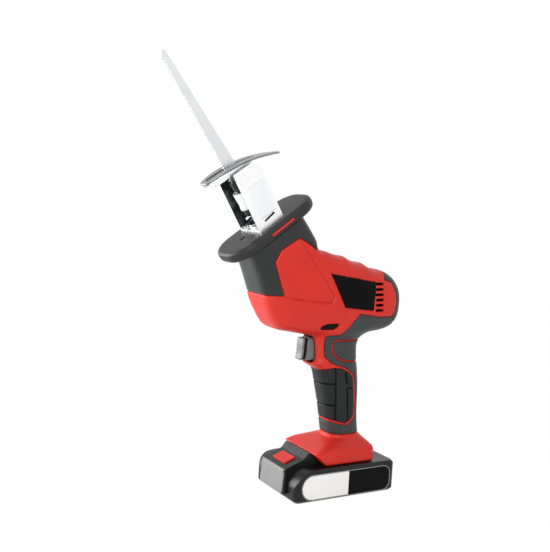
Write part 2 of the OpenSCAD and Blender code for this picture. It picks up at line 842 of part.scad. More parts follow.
// Blade clamp: core with the blade's slot, turning collar and cross pin
collar_u = clamp_u + 7;
collar_l = 17;
collar_d = 21;
collar_lip_d = 22.4;
ring_d = 20;
core_d = 16;
stub_d = core_d - 2;
clamp_pin_d = 4;
clamp_pin_u = collar_u + 9;
core_u1 = collar_u + collar_l + 11;
tang_u = collar_u + 4;
blade_slot = blade_t + 0.3;
module clamp_core() {
    color(black) in_head() difference() {
        union() {
            rod_x(ring_d, clamp_u, collar_u - gap);
            rod_x(stub_d, clamp_u, collar_u + collar_l + 1);
            rod_x(core_d, collar_u + collar_l + gap, core_u1);
        }
        rod_x(plunger_d, clamp_u - 1, clamp_u + 4);
        translate([tang_u - 0.3, -blade_slot / 2, -blade_w / 2 - gap])
            cube([60, blade_slot, blade_w + 2 * gap]);
        translate([clamp_pin_u, 0, 0]) rod_y(clamp_pin_d, -core_d, core_d);
        translate([core_u1 - 5, -core_d, -2.2]) cube([8, 2 * core_d, 4.4]);
    }
}

module clamp_pin() {
    color(steel) in_head() translate([clamp_pin_u, 0, 0])
        rod_y(clamp_pin_d, -stub_d / 2 + 0.6, stub_d / 2 - 0.6);
}

module clamp_collar() {
    color(steel) in_head() difference() {
        union() {
            rod_x(collar_d, collar_u, collar_u + collar_l);
            rod_x(collar_lip_d, collar_u, collar_u + 3);
            rotate([40, 0, 0]) translate([collar_u + 4, -3, 8]) cube([9, 6, 5]);
        }
        rod_x(stub_d + 2 * gap, collar_u - 1, collar_u + collar_l + 1);
        for (turn = [0, 180]) rotate([turn + 115, 0, 0])
            translate([collar_u + 6, -1.7, 6]) cube([7, 3.4, 8]);
    }
}

// Blade: a tapered strip with a row of teeth along its front edge
blade_u1 = tang_u + blade_l;
tooth_h = 1.3;
blade_swell = 1.2;
tip_front = 4.2;
tip_back = 3;
module blade() {
    teeth_u0 = core_u1 + 4;
    count = floor((blade_u1 - 6 - teeth_u0) / tooth_pitch);
    tang = blade_w / 2;
    half = tang + blade_swell;
    fall = (half - tip_front) / (blade_u1 - teeth_u0);
    front = [for (i = [0 : count - 1], tip = [0, 1]) let (u = teeth_u0 + i * tooth_pitch)
        [u + tip * tooth_pitch * 0.75, fall * (u - teeth_u0) - half + (tip == 0 ? tooth_h : 0)]];
    color(steel) in_head() difference() {
        side(blade_t) polygon(concat([[tang_u, tang - 1], [tang_u, 1 - tang], [tang_u + 1, -tang],
            [core_u1 + 1, -tang], [teeth_u0 - 1, -half]], front, [[blade_u1 - 3, tooth_h - tip_front],
            [blade_u1, tip_back - 4], [blade_u1 - 2, tip_back], [teeth_u0, half], [core_u1 + 1, tang],
            [tang_u + 1, tang]]));
        translate([clamp_pin_u, 0, 0]) rod_y(clamp_pin_d + gap, -5, 5);
    }
}

// Shoe bracket: a bent channel on the front guard, open to the front
rivet_u = shoe_u - 14;
rivet_w = 4;
rivet_d = 5;
bracket_top = shoe_u - 9;
bracket_back = 13.7;
bracket_lean = 0.13;
back_top = bracket_top - 22;
bracket_slot = [2.2, 13];
bracket_screw_d = 3;
bracket_head_d = 5.6;
module bracket_outline() {
    polygon([[guard_u1, -14.6], [guard_u1, bracket_back], [bracket_top - 6, 19], [bracket_top, 14],
        [bracket_top, -9], [bracket_top - 6, -9.8]]);
}

module shoe_bracket() {
    inner = bracket_w - 2 * sheet_t;
    back_w = bracket_back + bracket_lean * (back_top - guard_u1);
    color(steel) in_head() difference() {
        intersection() {
            side(bracket_w) bracket_outline();
            union() {
                for (y = [-1, 1]) translate([guard_u1 - 1, y * (bracket_w - sheet_t) / 2 - sheet_t / 2, -50])
                    cube([100, sheet_t, 100]);
                translate([guard_u1, -inner / 2 - 1, -50]) cube([sheet_t, inner + 2, 100]);
                side(bracket_w) polygon([[guard_u1, bracket_back - sheet_t], [guard_u1, bracket_back + 6],
                    [back_top, back_w + 6], [back_top, back_w - sheet_t]]);
            }
        }
        rod_x(seal_neck_d + 2 * gap, guard_u1 - 1, base_u + 1);
        at_bracket_screws() rod_x(bracket_screw_d + gap, guard_u1 - 1, base_u + 1);
        for (y = [-1, 1]) translate([guard_u1 + 7.5, y * bracket_w / 2, 1.4]) rotate([0, 7, 0])
            cube([bracket_slot[0], 3 * sheet_t, bracket_slot[1]], center = true);
        translate([rivet_u, 0, rivet_w]) rod_y(rivet_d, -bracket_w, bracket_w);
    }
}

module at_bracket_screws() {
    for (y = [-1, 1], w = [-9.5, 8.5]) translate([0, y * 13.6, w]) children();
}

module bracket_screws() {
    color(steel) in_head() at_bracket_screws() difference() {
        union() {
            rod_x(bracket_screw_d, guard_u1 - 8, base_u + 1);
            rod_x(bracket_head_d, base_u, base_u + 2);
        }
        rod_x(2.6, base_u + 0.8, base_u + 3, $fn = 6);
    }
}

// Shouldered rivets that carry the shoe's ears between the bracket's plates
ear_y1 = shoe_w / 2;
ear_y0 = ear_y1 - sheet_t;
module shoe_rivets() {
    color(steel) in_head() translate([rivet_u, 0, rivet_w]) for (turn = [0, 180]) rotate([turn, 0, 0]) {
        rod_y(rivet_d, ear_y0 - 0.4, bracket_w / 2);
        rod_y(rivet_d + 4, ear_y1 + gap, bracket_w / 2 - sheet_t);
        rod_y(rivet_d + 3, bracket_w / 2, bracket_w / 2 + 1);
    }
}

// Shoe: a curved plate with ears bent down and a slot for the blade
shoe_apex = -23;
shoe_w0 = -36;
shoe_w1 = 50;
shoe_slot_w0 = -27;
shoe_slot_w1 = 24;
shoe_slot = 5.2;
module shoe() {
    color(steel) in_head() difference() {
        union() {
            intersection() {
                side(shoe_w) translate([shoe_u - shoe_r, shoe_apex]) difference() {
                    circle(shoe_r, $fn = 200);
                    circle(shoe_r - sheet_t, $fn = 200);
                }
                translate([rivet_u - 20, 0, (shoe_w0 + shoe_w1) / 2]) rotate([0, 90, 0])
                    linear_extrude(60) rounded(shoe_w1 - shoe_w0, shoe_w, 10);
            }
            intersection() {
                for (y = [-1, 1]) translate([0, y * (ear_y0 + ear_y1) / 2, 0]) side(sheet_t) {
                    polygon([[shoe_u - 1, -26], [shoe_u - 7, -25], [rivet_u + 4, -8], [rivet_u, rivet_w - 6],
                        [rivet_u, rivet_w + 6], [shoe_u - 5, 18]]);
                    translate([rivet_u, rivet_w]) circle(6);
                }
                side(big) translate([shoe_u - shoe_r, shoe_apex]) circle(shoe_r - sheet_t / 2, $fn = 200);
            }
        }
        translate([shoe_u - 20, -shoe_slot / 2, shoe_slot_w0])
            cube([40, shoe_slot, shoe_slot_w1 - shoe_slot_w0]);
        translate([rivet_u, 0, rivet_w]) rod_y(rivet_d + 0.2, -bracket_w, bracket_w);
    }
}

// Trigger: a rounded paddle with a hollowed front, and a stem that slides in the switch
trigger_front = 25.5;
trigger_lean = 0.2;
trigger_hollow_r = 40;
stem_d = 7;
stem_l = 6;
module trigger() {
    nose = trigger_x0 + trigger_front;
    middle = (trigger_z0 + trigger_z1) / 2;
    color(grey) difference() {
        union() {
            hull() {
                translate([trigger_x0 - trigger_root, -trigger_w / 2, trigger_z0])
                    cube([trigger_root, trigger_w, trigger_h]);
                for (z = [trigger_z0, trigger_z1 - 4], y = [-1, 1])
                    translate([nose - (z - trigger_z0) * trigger_lean - 4, y * (trigger_w / 2 - 4), z])
                        cylinder(r = 4, h = 4, $fn = 24);
            }
            translate([0, 0, middle]) rod_x(stem_d, switch_x1 - stem_l, trigger_x0 - 1);
        }
        translate([nose + trigger_hollow_r - 4.6, 0, middle]) rod_y(2 * trigger_hollow_r, -20, 20, $fn = 96);
    }
}

switch_l = 23.5;
switch_w = 18;
module switch_body() {
    color(black) difference() {
        translate([switch_x1 - switch_l, -switch_w / 2, switch_z0])
            cube([switch_l, switch_w, switch_z1 - switch_z0]);
        translate([0, 0, (trigger_z0 + trigger_z1) / 2])
            rod_x(stem_d + 2 * gap, switch_x1 - stem_l - trigger_travel - 1, switch_x1 + 1);
    }
}

module lock_button() {
    color(black) side(2 * lock_reach) lock_outline(0);
}

// Terminal block in the foot, with blades that point forward into the pack's rail
block_l = 9;
blade_reach = 13;
module terminal_block() {
    color(black) translate([channel_x0, -rail_w / 2 + rail_neck, foot_z])
        cube([block_l, rail_w - 2 * rail_neck, rail_h - gap]);
}

terminal_y = [-9, 0, 9];
module terminal_blades() {
    color(copper) for (y = terminal_y)
        translate([channel_x0 + block_l, y - 0.4, foot_z + 2.5]) cube([blade_reach, 0.8, 4]);
}

// Battery pack: rounded main body with a sloped nose, held by screws through four posts
post_d = 5.4;
post_foot_d = 8;
post_foot_z = 5;
post_inset = 5.4;
post_y = 16;
pack_screw_d = 2.8;
pack_head_d = 5;
pack_head_z = 1.2;
pack_head_h = 1.8;
module at_pack_screws() {
    for (x = [-1, 1], y = [-1, 1]) translate([x * (pack_l / 2 - post_inset), y * post_y, 0]) children();
}

split_z = pack_h - 6;
pack_r = 6.5;
pack_chamfer = 2.5;
module pack_plan(inset) {
    rounded(pack_l - 2 * inset, pack_w - 2 * inset, pack_r - inset, $fn = 32);
}

// The main body, with a front that is round in the side view
cheek_r = 20;
module pack_body(inset) {
    difference() {
        hull() {
            translate([0, 0, inset]) linear_extrude(pack_h - 2 * inset) pack_plan(pack_chamfer + inset);
            translate([0, 0, pack_chamfer]) linear_extrude(pack_h - 2 * pack_chamfer) pack_plan(inset);
        }
        translate([pack_l / 2 - cheek_r, 0, pack_h - cheek_r]) difference() {
            translate([0, -pack_w, 0]) cube([cheek_r + 1, 2 * pack_w, cheek_r + 1]);
            rod_y(2 * (cheek_r - inset), -2 * pack_w, 2 * pack_w);
        }
    }
}

nose_x1 = pack_l / 2 + nose_l;
slope_x0 = foot_x1 + 8;
slope_z0 = foot_z + 6;
slope_x1 = nose_x1 - 2.5;
slope_z1 = pack_h - 1;
slope_angle = atan2(slope_z0 - slope_z1, slope_x1 - slope_x0);
module nose_block() {
    intersection() {
        side(nose_w) polygon([[pack_l / 2 - 8, 5.5], [nose_x1 - 1, 5.5], [nose_x1, 7],
            [slope_x1 + 0.8, slope_z1 - 1.5], [slope_x1, slope_z1], [slope_x0, slope_z0],
            [foot_x1 + 3, foot_z + 12],
            [foot_x1 + 0.8, foot_z + 11.6], [foot_x1 - 10.6, pack_h], [foot_x1 - 10.6, pack_h - 8]]);
        linear_extrude(100) translate([nose_x1 - 60, 0]) rounded(120, nose_w, 4, $fn = 32);
    }
}

module pack_outside() {
    pack_body(0);
    nose_block();
}

module pack_inside() {
    difference() {
        pack_body(pack_wall);
        at_pack_screws() {
            cylinder(d = post_d, h = pack_h, $fn = 24);
            cylinder(d = post_foot_d, h = post_foot_z, $fn = 24);
        }
    }
}

// The stadium panel on each side of the pack
panel_l = pack_l - 15;
panel_h = pack_h - 7;
panel_sink = 0.9;
label_r = 8;
label_split = -2;
module label_plan(grow) {
    offset(delta = grow) {
        translate([label_r - panel_l / 2, -panel_h / 2]) square([panel_l - label_r - panel_h / 2, panel_h]);
        translate([panel_l / 2 - panel_h / 2, 0]) circle(panel_h / 2, $fn = 32);
        translate([label_r + 1 - panel_l / 2, 0]) rounded(2 * label_r + 2, panel_h, label_r, $fn = 24);
    }
}

module side_labels(x_from, x_to, grow, sink) {
    for (y = [-1, 1]) translate([0, y * (pack_w / 2 - sink / 2), pack_h / 2 - 1])
        rotate([90, 0, 0]) linear_extrude(sink, center = true) intersection() {
            label_plan(grow);
            translate([x_from, -50]) square([x_to - x_from, 100]);
        }
}

module below(z) {
    intersection() {
        children();
        translate([-big / 2, -big / 2, -1]) cube([big, big, z + 1]);
    }
}

module pack_tray() {
    color(rubber) difference() {
        below(split_z) pack_outside();
        below(split_z + 1) pack_inside();
        side_labels(-big, big, 0, panel_sink);
        at_pack_screws() {
            translate([0, 0, -1]) cylinder(d = pack_screw_d + 2 * gap, h = pack_h, $fn = 24);
            translate([0, 0, -1])
                cylinder(d = pack_head_d + 2 * gap, h = pack_head_z + pack_head_h + 1, $fn = 24);
        }
    }
}

module pack_cover() {
    color(rubber) difference() {
        union() {
            difference() {
                pack_outside();
                translate([-big / 2, -big / 2, -1]) cube([big, big, split_z + 1]);
            }
            rail_block();
        }
        pack_inside();
        side_labels(-big, big, 0, panel_sink);
        for (y = terminal_y) translate([rail_x0 - 1, y - 0.4 - gap, foot_z + 2.5 - gap])
            cube([blade_reach + 2, 0.8 + 2 * gap, 4 + 2 * gap]);
        button_place() translate([-button_l / 2 - gap, -button_w / 2 - gap, -button_t - button_travel - gap])
            cube([button_l + 2 * gap, button_w + 2 * gap, 20]);
        at_pack_screws() cylinder(d = pack_screw_d, h = split_z + 3, $fn = 24);
    }
}

// The rail's wings ride over the foot's ledges
rail_x0 = channel_x0 + block_l + gap;
rail_x1 = foot_x1 - 2;
module rail_block() {
    translate([rail_x0, -rail_w / 2, foot_z + rail_wing_z + gap])
        cube([rail_x1 - rail_x0, rail_w, rail_h - rail_wing_z - 2 * gap]);
    translate([rail_x0, -rail_w / 2 + rail_neck, pack_h - 1])
        cube([rail_x1 - rail_x0, rail_w - 2 * rail_neck, rail_h - gap]);
}

cell_pitch = cell_d + 0.2;
cell_n = floor((pack_l - 2 * post_inset - post_d - 2 * gap) / cell_pitch);
cell_z = pack_wall + cell_d / 2;
module at_cells() {
    for (i = [0 : cell_n - 1]) translate([(i - (cell_n - 1) / 2) * cell_pitch, 0, cell_z]) children();
}

module pack_cells() {
    color(copper) at_cells() rod_y(cell_d, -cell_l / 2, cell_l / 2);
}

module cell_holder() {
    color(black) difference() {
        translate([-cell_pitch * cell_n / 2, -20, cell_z + 1])
            cube([cell_pitch * cell_n, 40, cell_d / 2 + 1]);
        at_cells() rod_y(cell_d, -30, 30);
    }
}

// Nickel straps that join the cells in a row, staggered from one end to the other
strap_t = 0.4;
strap_h = 7;
strap_lap = 0.6;
module cell_straps() {
    color(steel) for (end = [0, 1], i = [-end : 2 : cell_n - 1]) {
        first = max(i, 0);
        last = min(i + 1, cell_n - 1);
        middle = (first + last - cell_n + 1) / 2;
        translate([middle * cell_pitch, (2 * end - 1) * (cell_l + strap_t) / 2, cell_z])
            cube([(last - first + strap_lap) * cell_pitch, strap_t, strap_h], center = true);
    }
}

board_l = pack_l - 35;
board_w = 36;
board_t = 1.2;
module pack_board() {
    color([0.1, 0.35, 0.2]) translate([-board_l / 2 - 3, -board_w / 2, cell_z + cell_d / 2 + 2])
        cube([board_l, board_w, board_t]);
}

module front_labels() {
    color(white) side_labels(label_split, big, -0.2, panel_sink - 0.1);
}

module rear_labels() {
    color(black) side_labels(-big, label_split, -0.2, panel_sink - 0.1);
}

module pack_screws() {
    color(steel) at_pack_screws() translate([0, 0, pack_head_z]) {
        cylinder(d = pack_head_d, h = pack_head_h);
        cylinder(d = pack_screw_d, h = split_z);
    }
}

// Release button on the nose's slope
button_l = 13;
button_w = 23;
button_t = 3;
button_rise = 1.4;
module button_place() {
    translate([(slope_x0 + slope_x1) / 2 - 1, 0, (slope_z0 + slope_z1) / 2 + 0.45])
        rotate([0, slope_angle, 0]) children();
}

module release_button() {
    color(red) button_place() difference() {
        translate([-button_l / 2, -button_w / 2, -button_t])
            cube([button_l, button_w, button_t + button_rise]);
        for (i = [-1 : 1]) translate([i * 3, 0, button_rise]) cube([0.8, button_w - 6, 0.8], center = true);
    }
}

left_housing();
right_housing();
left_grip();
right_grip();
nose_boot();
rear_cap();
front_guard();
guard_inserts();
name_panels();
housing_screws();
gear_case();
gear_cover();
plunger_bushes();
front_seal();
crank_bearings();
crank_hub();
crank_gear();
crank_pin();
plunger();
motor_can();
motor_magnets();
end_bell();
motor_brushes();
motor_bearings();
motor_shaft();
armature();
windings();
commutator();
cooling_fan();
pinion();
clamp_core();
clamp_pin();
clamp_collar();
blade();
shoe_bracket();
bracket_screws();
shoe_rivets();
shoe();
trigger();
switch_body();
lock_button();
terminal_block();
terminal_blades();
pack_tray();
pack_cover();
pack_cells();
cell_holder();
cell_straps();
pack_board();
front_labels();
rear_labels();
pack_screws();
release_button();
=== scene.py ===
"""Looks of a cordless reciprocating saw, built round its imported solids.

The outer pieces are distance fields on grids of points in millimetres, below zero inside.
"""

import functools
import json
import math

import bmesh
import bpy
import numpy as np
from mathutils import Matrix, Vector


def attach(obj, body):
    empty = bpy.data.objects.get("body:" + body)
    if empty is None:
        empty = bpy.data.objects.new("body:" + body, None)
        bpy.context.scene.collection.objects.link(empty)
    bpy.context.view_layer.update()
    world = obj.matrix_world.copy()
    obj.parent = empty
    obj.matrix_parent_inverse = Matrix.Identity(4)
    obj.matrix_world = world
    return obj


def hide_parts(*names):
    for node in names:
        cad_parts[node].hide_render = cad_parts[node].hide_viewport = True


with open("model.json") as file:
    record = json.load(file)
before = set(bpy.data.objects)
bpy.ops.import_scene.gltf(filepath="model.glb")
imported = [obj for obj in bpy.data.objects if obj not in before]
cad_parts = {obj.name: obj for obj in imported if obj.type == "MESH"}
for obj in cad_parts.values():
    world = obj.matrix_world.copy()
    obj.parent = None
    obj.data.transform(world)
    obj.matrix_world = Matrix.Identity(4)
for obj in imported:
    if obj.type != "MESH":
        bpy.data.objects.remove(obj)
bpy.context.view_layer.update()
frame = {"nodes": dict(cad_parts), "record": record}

# Sizes shared with the solids, in millimetres
MM = 0.001
STEP = 0.8
PACK_W = 79.0
FOOT_Z, FOOT_TOP = 31.3, 53.8
FOOT_X0, FOOT_X1 = -38.0, 33.0
HANDLE_X, HANDLE_L, HANDLE_RAKE = -15.5, 112.0, math.radians(9.5)
CRANK_AHEAD, CRANK_ABOVE = 39.3, 38.0
CRANK_X = HANDLE_X + HANDLE_L * math.tan(HANDLE_RAKE) + CRANK_AHEAD
CRANK_Z = FOOT_TOP + HANDLE_L + CRANK_ABOVE
HEAD = math.radians(53.5)
NECK, GUARD_T = 66.5, 11.0
BODY_HALF = 29.0
HANDLE_HALF, HANDLE_SQUARE = 17.0, 2.8
RUBBER, WALL = 1.8, 4.2
# Room round a piece that moves, round a skin in its zone, and at each side of the seam
GAP, FIT, SEAM = 0.3, 0.25, 0.002
# Room round a piece in its block of sample points
MARGIN = 1.5


def head(u, w):
    """A side-view point from the stroke axis: u along it, w across it."""
    return (CRANK_X + u * math.cos(HEAD) - w * math.sin(HEAD),
            CRANK_Z + u * math.sin(HEAD) + w * math.cos(HEAD))


def mid(dx, dz):
    """A side-view point from the crank axis."""
    return (CRANK_X + dx, CRANK_Z + dz)


def grip_at(t, dx):
    """A side-view point at a share of the handle's height, dx ahead of its middle line."""
    return (HANDLE_X + t * HANDLE_L * math.tan(HANDLE_RAKE) + dx, FOOT_TOP + t * HANDLE_L)


# Stations of the body and the handle: front point, rear point, half width, squareness
BODY = [
    (head(NECK, -33), head(NECK, 33), BODY_HALF - 3.5, 5.0),
    (head(NECK - 17, -36.5), head(NECK - 17, 33.3), BODY_HALF - 3, 5.0),
    (head(NECK - 37, -42), head(NECK - 37, 33), BODY_HALF - 2.5, 5.0),
    (mid(46, -16), mid(-11, 39), BODY_HALF - 1.5, 4.8),
    (mid(33.5, -36), mid(-23, 38), BODY_HALF - 0.8, 4.4),
    (mid(19.5, -40.5), mid(-34, 35), BODY_HALF - 0.3, 4.2),
    (mid(0, -44), mid(-45, 32), BODY_HALF, 3.8),
    (mid(-21, -46), mid(-56, 29), BODY_HALF, 3.6),
    (mid(-44, -48), mid(-69.5, 25), BODY_HALF, 3.4),
    (mid(-66, -45), mid(-83, 21), BODY_HALF - 0.5, 3.2),
    (mid(-86, -43.5), mid(-95, 17), BODY_HALF - 1.5, 3.0),
    (mid(-99.5, -40.5), mid(-103, 11.5), BODY_HALF - 4, 2.8),
    (mid(-107, -35), mid(-108.5, 4), BODY_HALF - 9, 2.6),
    (mid(-110, -27), mid(-111, -8), BODY_HALF - 18, 2.4),
]
# Share of the handle's height, reach ahead and behind, extra half width
HANDLE_ROWS = [
    (-0.02, 20, 16, 0), (0.16, 20.5, 16.8, -0.2), (0.3, 20.8, 18.6, 0.2), (0.455, 22.4, 21, 0.5),
    (0.6, 24.2, 22.2, 0.5), (0.64, 29, 22.4, 0.5), (0.68, 35, 22.5, 0.5), (0.715, 31, 22.6, 0.6),
    (0.77, 29.5, 23, 0.8), (0.85, 29, 24.5, 1.6), (0.93, 28.5, 31, 4), (1, 28, 44, 8),
]
HANDLE = [(grip_at(t, ahead), grip_at(t, -behind), HANDLE_HALF + extra, HANDLE_SQUARE)
          for t, ahead, behind, extra in HANDLE_ROWS]
HANDLE_BLEND, FOOT_BLEND = 7.0, 4.0
# The foot's plan by height: height, middle, length, width, corner radius
FOOT_LEVELS = [
    (FOOT_Z - 1, -2.5, 71, 66, 7), (42.8, -2.5, 71, 66, 7), (45.8, -6, 63, 61, 6),
    (FOOT_TOP, -16.5, 33, 34, 12),
]
FOOT_WEDGE = [
    (FOOT_X1 - 13, FOOT_Z - 1), (FOOT_X1 + 1, FOOT_Z + 13), (FOOT_X1 + 9, FOOT_Z - 1),
]
FOOT_EDGE, WEDGE_EDGE = 2.5, 1.5

# Side-view zones of the pieces that share the shell's surface
BOOT_ZONE = [
    head(NECK + 5, -70), head(46, -70), head(NECK - 50.5, -29), head(NECK - 18.5, -19),
    head(NECK - 13, -7.5), head(NECK - 15, 15), head(NECK - 26, 20.5), head(NECK - 38, 25.5),
    head(NECK - 46, 40), head(NECK - 46, 70), head(NECK + 5, 70),
]
CAP_ZONE = [
    mid(-150, 60), mid(-88, 60), mid(-87, 16), mid(-83.5, 10.5), mid(-93, 8), mid(-98.5, -2.4),
    mid(-100.5, -13), mid(-97.5, -24), mid(-94.5, -26.5), mid(-150, -70),
]
GRIP_ZONE = [
    mid(-150, -70), mid(-94.5, -26.5), mid(-78, -26.5), mid(-54, -22.5), mid(-36.2, -43.2),
    mid(-34.6, -44.2), mid(-22.5, -45), mid(-21.3, -46.2), grip_at(0.855, 20.4),
    grip_at(0.745, 20.8), grip_at(0.69, 15.2), grip_at(0.65, 6.3), grip_at(0.632, 5.7),
    grip_at(0.642, 11), grip_at(0.625, 20.5), grip_at(0.605, 29.5), grip_at(0.605, 60),
    grip_at(0.02, 60), grip_at(0.02, -60), grip_at(0.6, -60),
]
RED_LINE = [
    grip_at(0.655, 8), grip_at(0.631, 0), grip_at(0.6, -6.5), grip_at(0.562, -10.6),
    grip_at(0.51, -11.6), grip_at(0.376, -11), grip_at(0.2, -9.4), grip_at(0.165, -6.5),
    grip_at(0.111, 2.5), grip_at(0.147, 17.8), grip_at(0.175, 40),
]
LOOP_LINE = [
    grip_at(0.892, -45), grip_at(0.886, 10.2), grip_at(0.775, 12.4), grip_at(0.711, 4.1),
    grip_at(0.697, -4), grip_at(0.683, -20), grip_at(0.683, -45),
]
RED_LINE_W, LOOP_LINE_W = 1.4, 0.9
# What lies ahead of the red line
FRONT_ZONE = RED_LINE + [grip_at(0.175, 60), grip_at(0.655, 60)]
PANEL_ZONE = [
    head(NECK - 17.5, -20), head(NECK - 12, -7.5), head(NECK - 14, 14.5), head(-17, 14.5),
    mid(-20, -11), mid(0.5, -9.4), mid(21.8, -6.7), mid(32, -4.5),
]
PANEL_RISE, PANEL_FADE = 0.7, 1.2
PANEL_RIM, PANEL_GROOVE, PANEL_GROOVE_DEPTH = 0.8, 1.7, 1.4
CREASE = [mid(-8, 41), mid(-21, 18.5)]
CREASE_W, CREASE_DEPTH, LINE_FADE = 1.0, 0.6, 0.8
NAME_ZONE = [mid(-16.4, 17.8), mid(-72.4, 9), mid(-71, -20.6), mid(-35.4, -16.8)]
NAME_DEPTH, NAME_SINK = 1.2, 0.2


class Grid:
    """A block of sample points, and their side-view pairs."""

    def __init__(self, low, high, step=STEP):
        self.low = np.array(low, float)
        self.step = step
        x, y, z = (np.arange(a, b + step, step) for a, b in zip(low, high))
        self.x, self.y, self.z = x[:, None, None], y[None, :, None], z[None, None, :]
        self.px, self.pz = x[:, None], z[None, :]


def lift(flat):
    """A side-view field spread along Y."""
    return flat[:, None, :]


def overlap(*fields):
    """The field of what lies inside all the given ones."""
    return functools.reduce(np.maximum, fields)


def round_max(a, b, k):
    """The larger of two fields, with the crease rounded over a width k."""
    h = np.maximum(k - np.abs(a - b), 0) / k
    return np.maximum(a, b) + h * h * k * 0.25


def round_min(a, b, k):
    """The smaller of two fields, with the crease filled over a width k."""
    return -round_max(-a, -b, k)


def fade(distance, width):
    """One inside an edge and zero outside it, with a ramp of the given width."""
    return np.clip(0.5 - distance / width, 0, 1)


def segments(points, closed):
    """Pairs of neighbours along a line, or round an outline."""
    return zip(points, points[1:] + points[:1] if closed else points[1:])


def stroke(grid, points, width, closed=False):
    """Side-view distance to a line of even width."""
    best = np.inf
    for (ax, az), (bx, bz) in segments(points, closed):
        ex, ez = bx - ax, bz - az
        wx, wz = grid.px - ax, grid.pz - az
        t = np.clip((wx * ex + wz * ez) / (ex * ex + ez * ez), 0, 1)
        best = np.minimum(best, np.hypot(wx - ex * t, wz - ez * t))
    return best - width / 2


def polygon(grid, points):
    """Side-view distance to an outline, below zero inside it."""
    inside = np.zeros(np.broadcast_shapes(grid.px.shape, grid.pz.shape), bool)
    for (ax, az), (bx, bz) in segments(points, True):
        if az != bz:
            level = (az > grid.pz) != (bz > grid.pz)
            inside ^= level & (grid.px < (bx - ax) * (grid.pz - az) / (bz - az) + ax)
    return np.where(inside, -1, 1) * stroke(grid, points, 0, True)


def slab(value, low, high):
    """Distance to the space between two planes."""
    return np.maximum(low - value, value - high)


def round_box(dx, dy, half_x, half_y, r):
    """Distance to a rectangle with round corners, from the offsets to its middle."""
    qx = np.abs(dx) - half_x + r
    qy = np.abs(dy) - half_y + r
    outside = np.hypot(np.maximum(qx, 0), np.maximum(qy, 0))
    return outside + np.minimum(np.maximum(qx, qy), 0) - r


def spline(rows, count):
    """Smooth rows through the given ones, count to each stretch."""
    rows = np.array(rows, float)
    padded = np.vstack((2 * rows[0] - rows[1], rows, 2 * rows[-1] - rows[-2]))
    out = []
    for a, b, c, d in zip(padded, padded[1:], padded[2:], padded[3:]):
        for t in np.arange(count) / count:
            bend = 2 * a - 5 * b + 4 * c - d + t * (3 * (b - c) + d - a)
            out.append(b + 0.5 * t * (c - a + t * bend))
    return np.array(out + [rows[-1]])


# Rows to each stretch of a loft, and the least slope that scales its distance
STRETCH_ROWS, LEAST_SLOPE = 5, 0.6


def loft(grid, stations, inset=0.0):
    """Distance to a smooth skin through a row of stations."""
    rows = spline([(*front, *rear, *rest) for front, rear, *rest in stations], STRETCH_ROWS)
    front, rear = rows[:, 0:2], rows[:, 2:4]
    length = np.linalg.norm(rear - front, axis=1)
    along = (rear - front) / length[:, None]
    sides = np.array([ux * (grid.pz - fz) - uz * (grid.px - fx)
                      for (fx, fz), (ux, uz) in zip(front, along)])
    middle = (front + rear) / 2
    step = middle[1] - middle[0]
    sides *= np.sign(along[0, 0] * step[1] - along[0, 1] * step[0])
    k = np.clip((sides > 0).sum(0) - 1, 0, len(rows) - 2)
    here = np.take_along_axis(sides, k[None], 0)[0]
    there = np.take_along_axis(sides, k[None] + 1, 0)[0]
    t = np.clip(here / np.where(np.abs(here - there) < 1e-9, 1, here - there), 0, 1)

    def between(values):
        return values[k] * (1 - t) + values[k + 1] * t

    dx, dz = grid.px - between(middle[:, 0]), grid.pz - between(middle[:, 1])
    p = dx * between(along[:, 0]) + dz * between(along[:, 1])
    half_long = lift(between(length) / 2 - inset)
    half_wide = lift(between(rows[:, 4]) - inset)
    power = lift(between(rows[:, 5]))
    a = np.abs(lift(p)) / half_long
    b = np.abs(grid.y) / half_wide
    a1, b1 = a ** (power - 1), b ** (power - 1)
    gauge = np.maximum(a * a1 + b * b1, 1e-6) ** (1 / power)
    slope = np.hypot(a1 / half_long, b1 / half_wide) * gauge ** (1 - power)
    distance = (gauge - 1) / np.maximum(slope, LEAST_SLOPE / np.minimum(half_long, half_wide))
    ends = np.maximum(-sides[0], sides[-1])
    return np.maximum(distance, lift(ends))


def body(grid, inset=0.0, drop=0):
    """Distance to the body's skin, without its last few stations."""
    return loft(grid, BODY[:len(BODY) - drop], inset)


def skin(grid, inset=0.0):
    """Distance to the outer surface of the body and handle together."""
    return round_min(body(grid, inset), loft(grid, HANDLE, inset), HANDLE_BLEND)


def foot(grid):
    """Distance to the foot: upright sides, a lean in to the handle's root, a bevel ahead."""
    z, *columns = (np.array(column, float) for column in zip(*FOOT_LEVELS))
    middle, long, wide, r = (np.interp(grid.z, z, column) for column in columns)
    plan = round_box(grid.x - middle, grid.y, long / 2, wide / 2, r)
    distance = round_max(plan, slab(grid.z, FOOT_Z, FOOT_TOP), FOOT_EDGE)
    return round_max(distance, -lift(polygon(grid, FOOT_WEDGE)), WEDGE_EDGE)


CORNERS = np.array([(i, j, k) for i in (0, 1) for j in (0, 1) for k in (0, 1)])


def crossings(values, cells):
    """The middle of each cell's crossings with the surface, in steps from its corner."""
    total, count = np.zeros((len(cells), 3)), np.zeros(len(cells))
    for a in CORNERS:
        for axis in range(3):
            if a[axis] == 0:
                b = a.copy()
                b[axis] = 1
                va, vb = values[tuple((cells + a).T)], values[tuple((cells + b).T)]
                cross = (va < 0) != (vb < 0)
                t = np.where(cross, va / np.where(cross, va - vb, 1), 0)
                total += cross[:, None] * (a + (b - a) * t[:, None])
                count += cross
    return total / count[:, None]


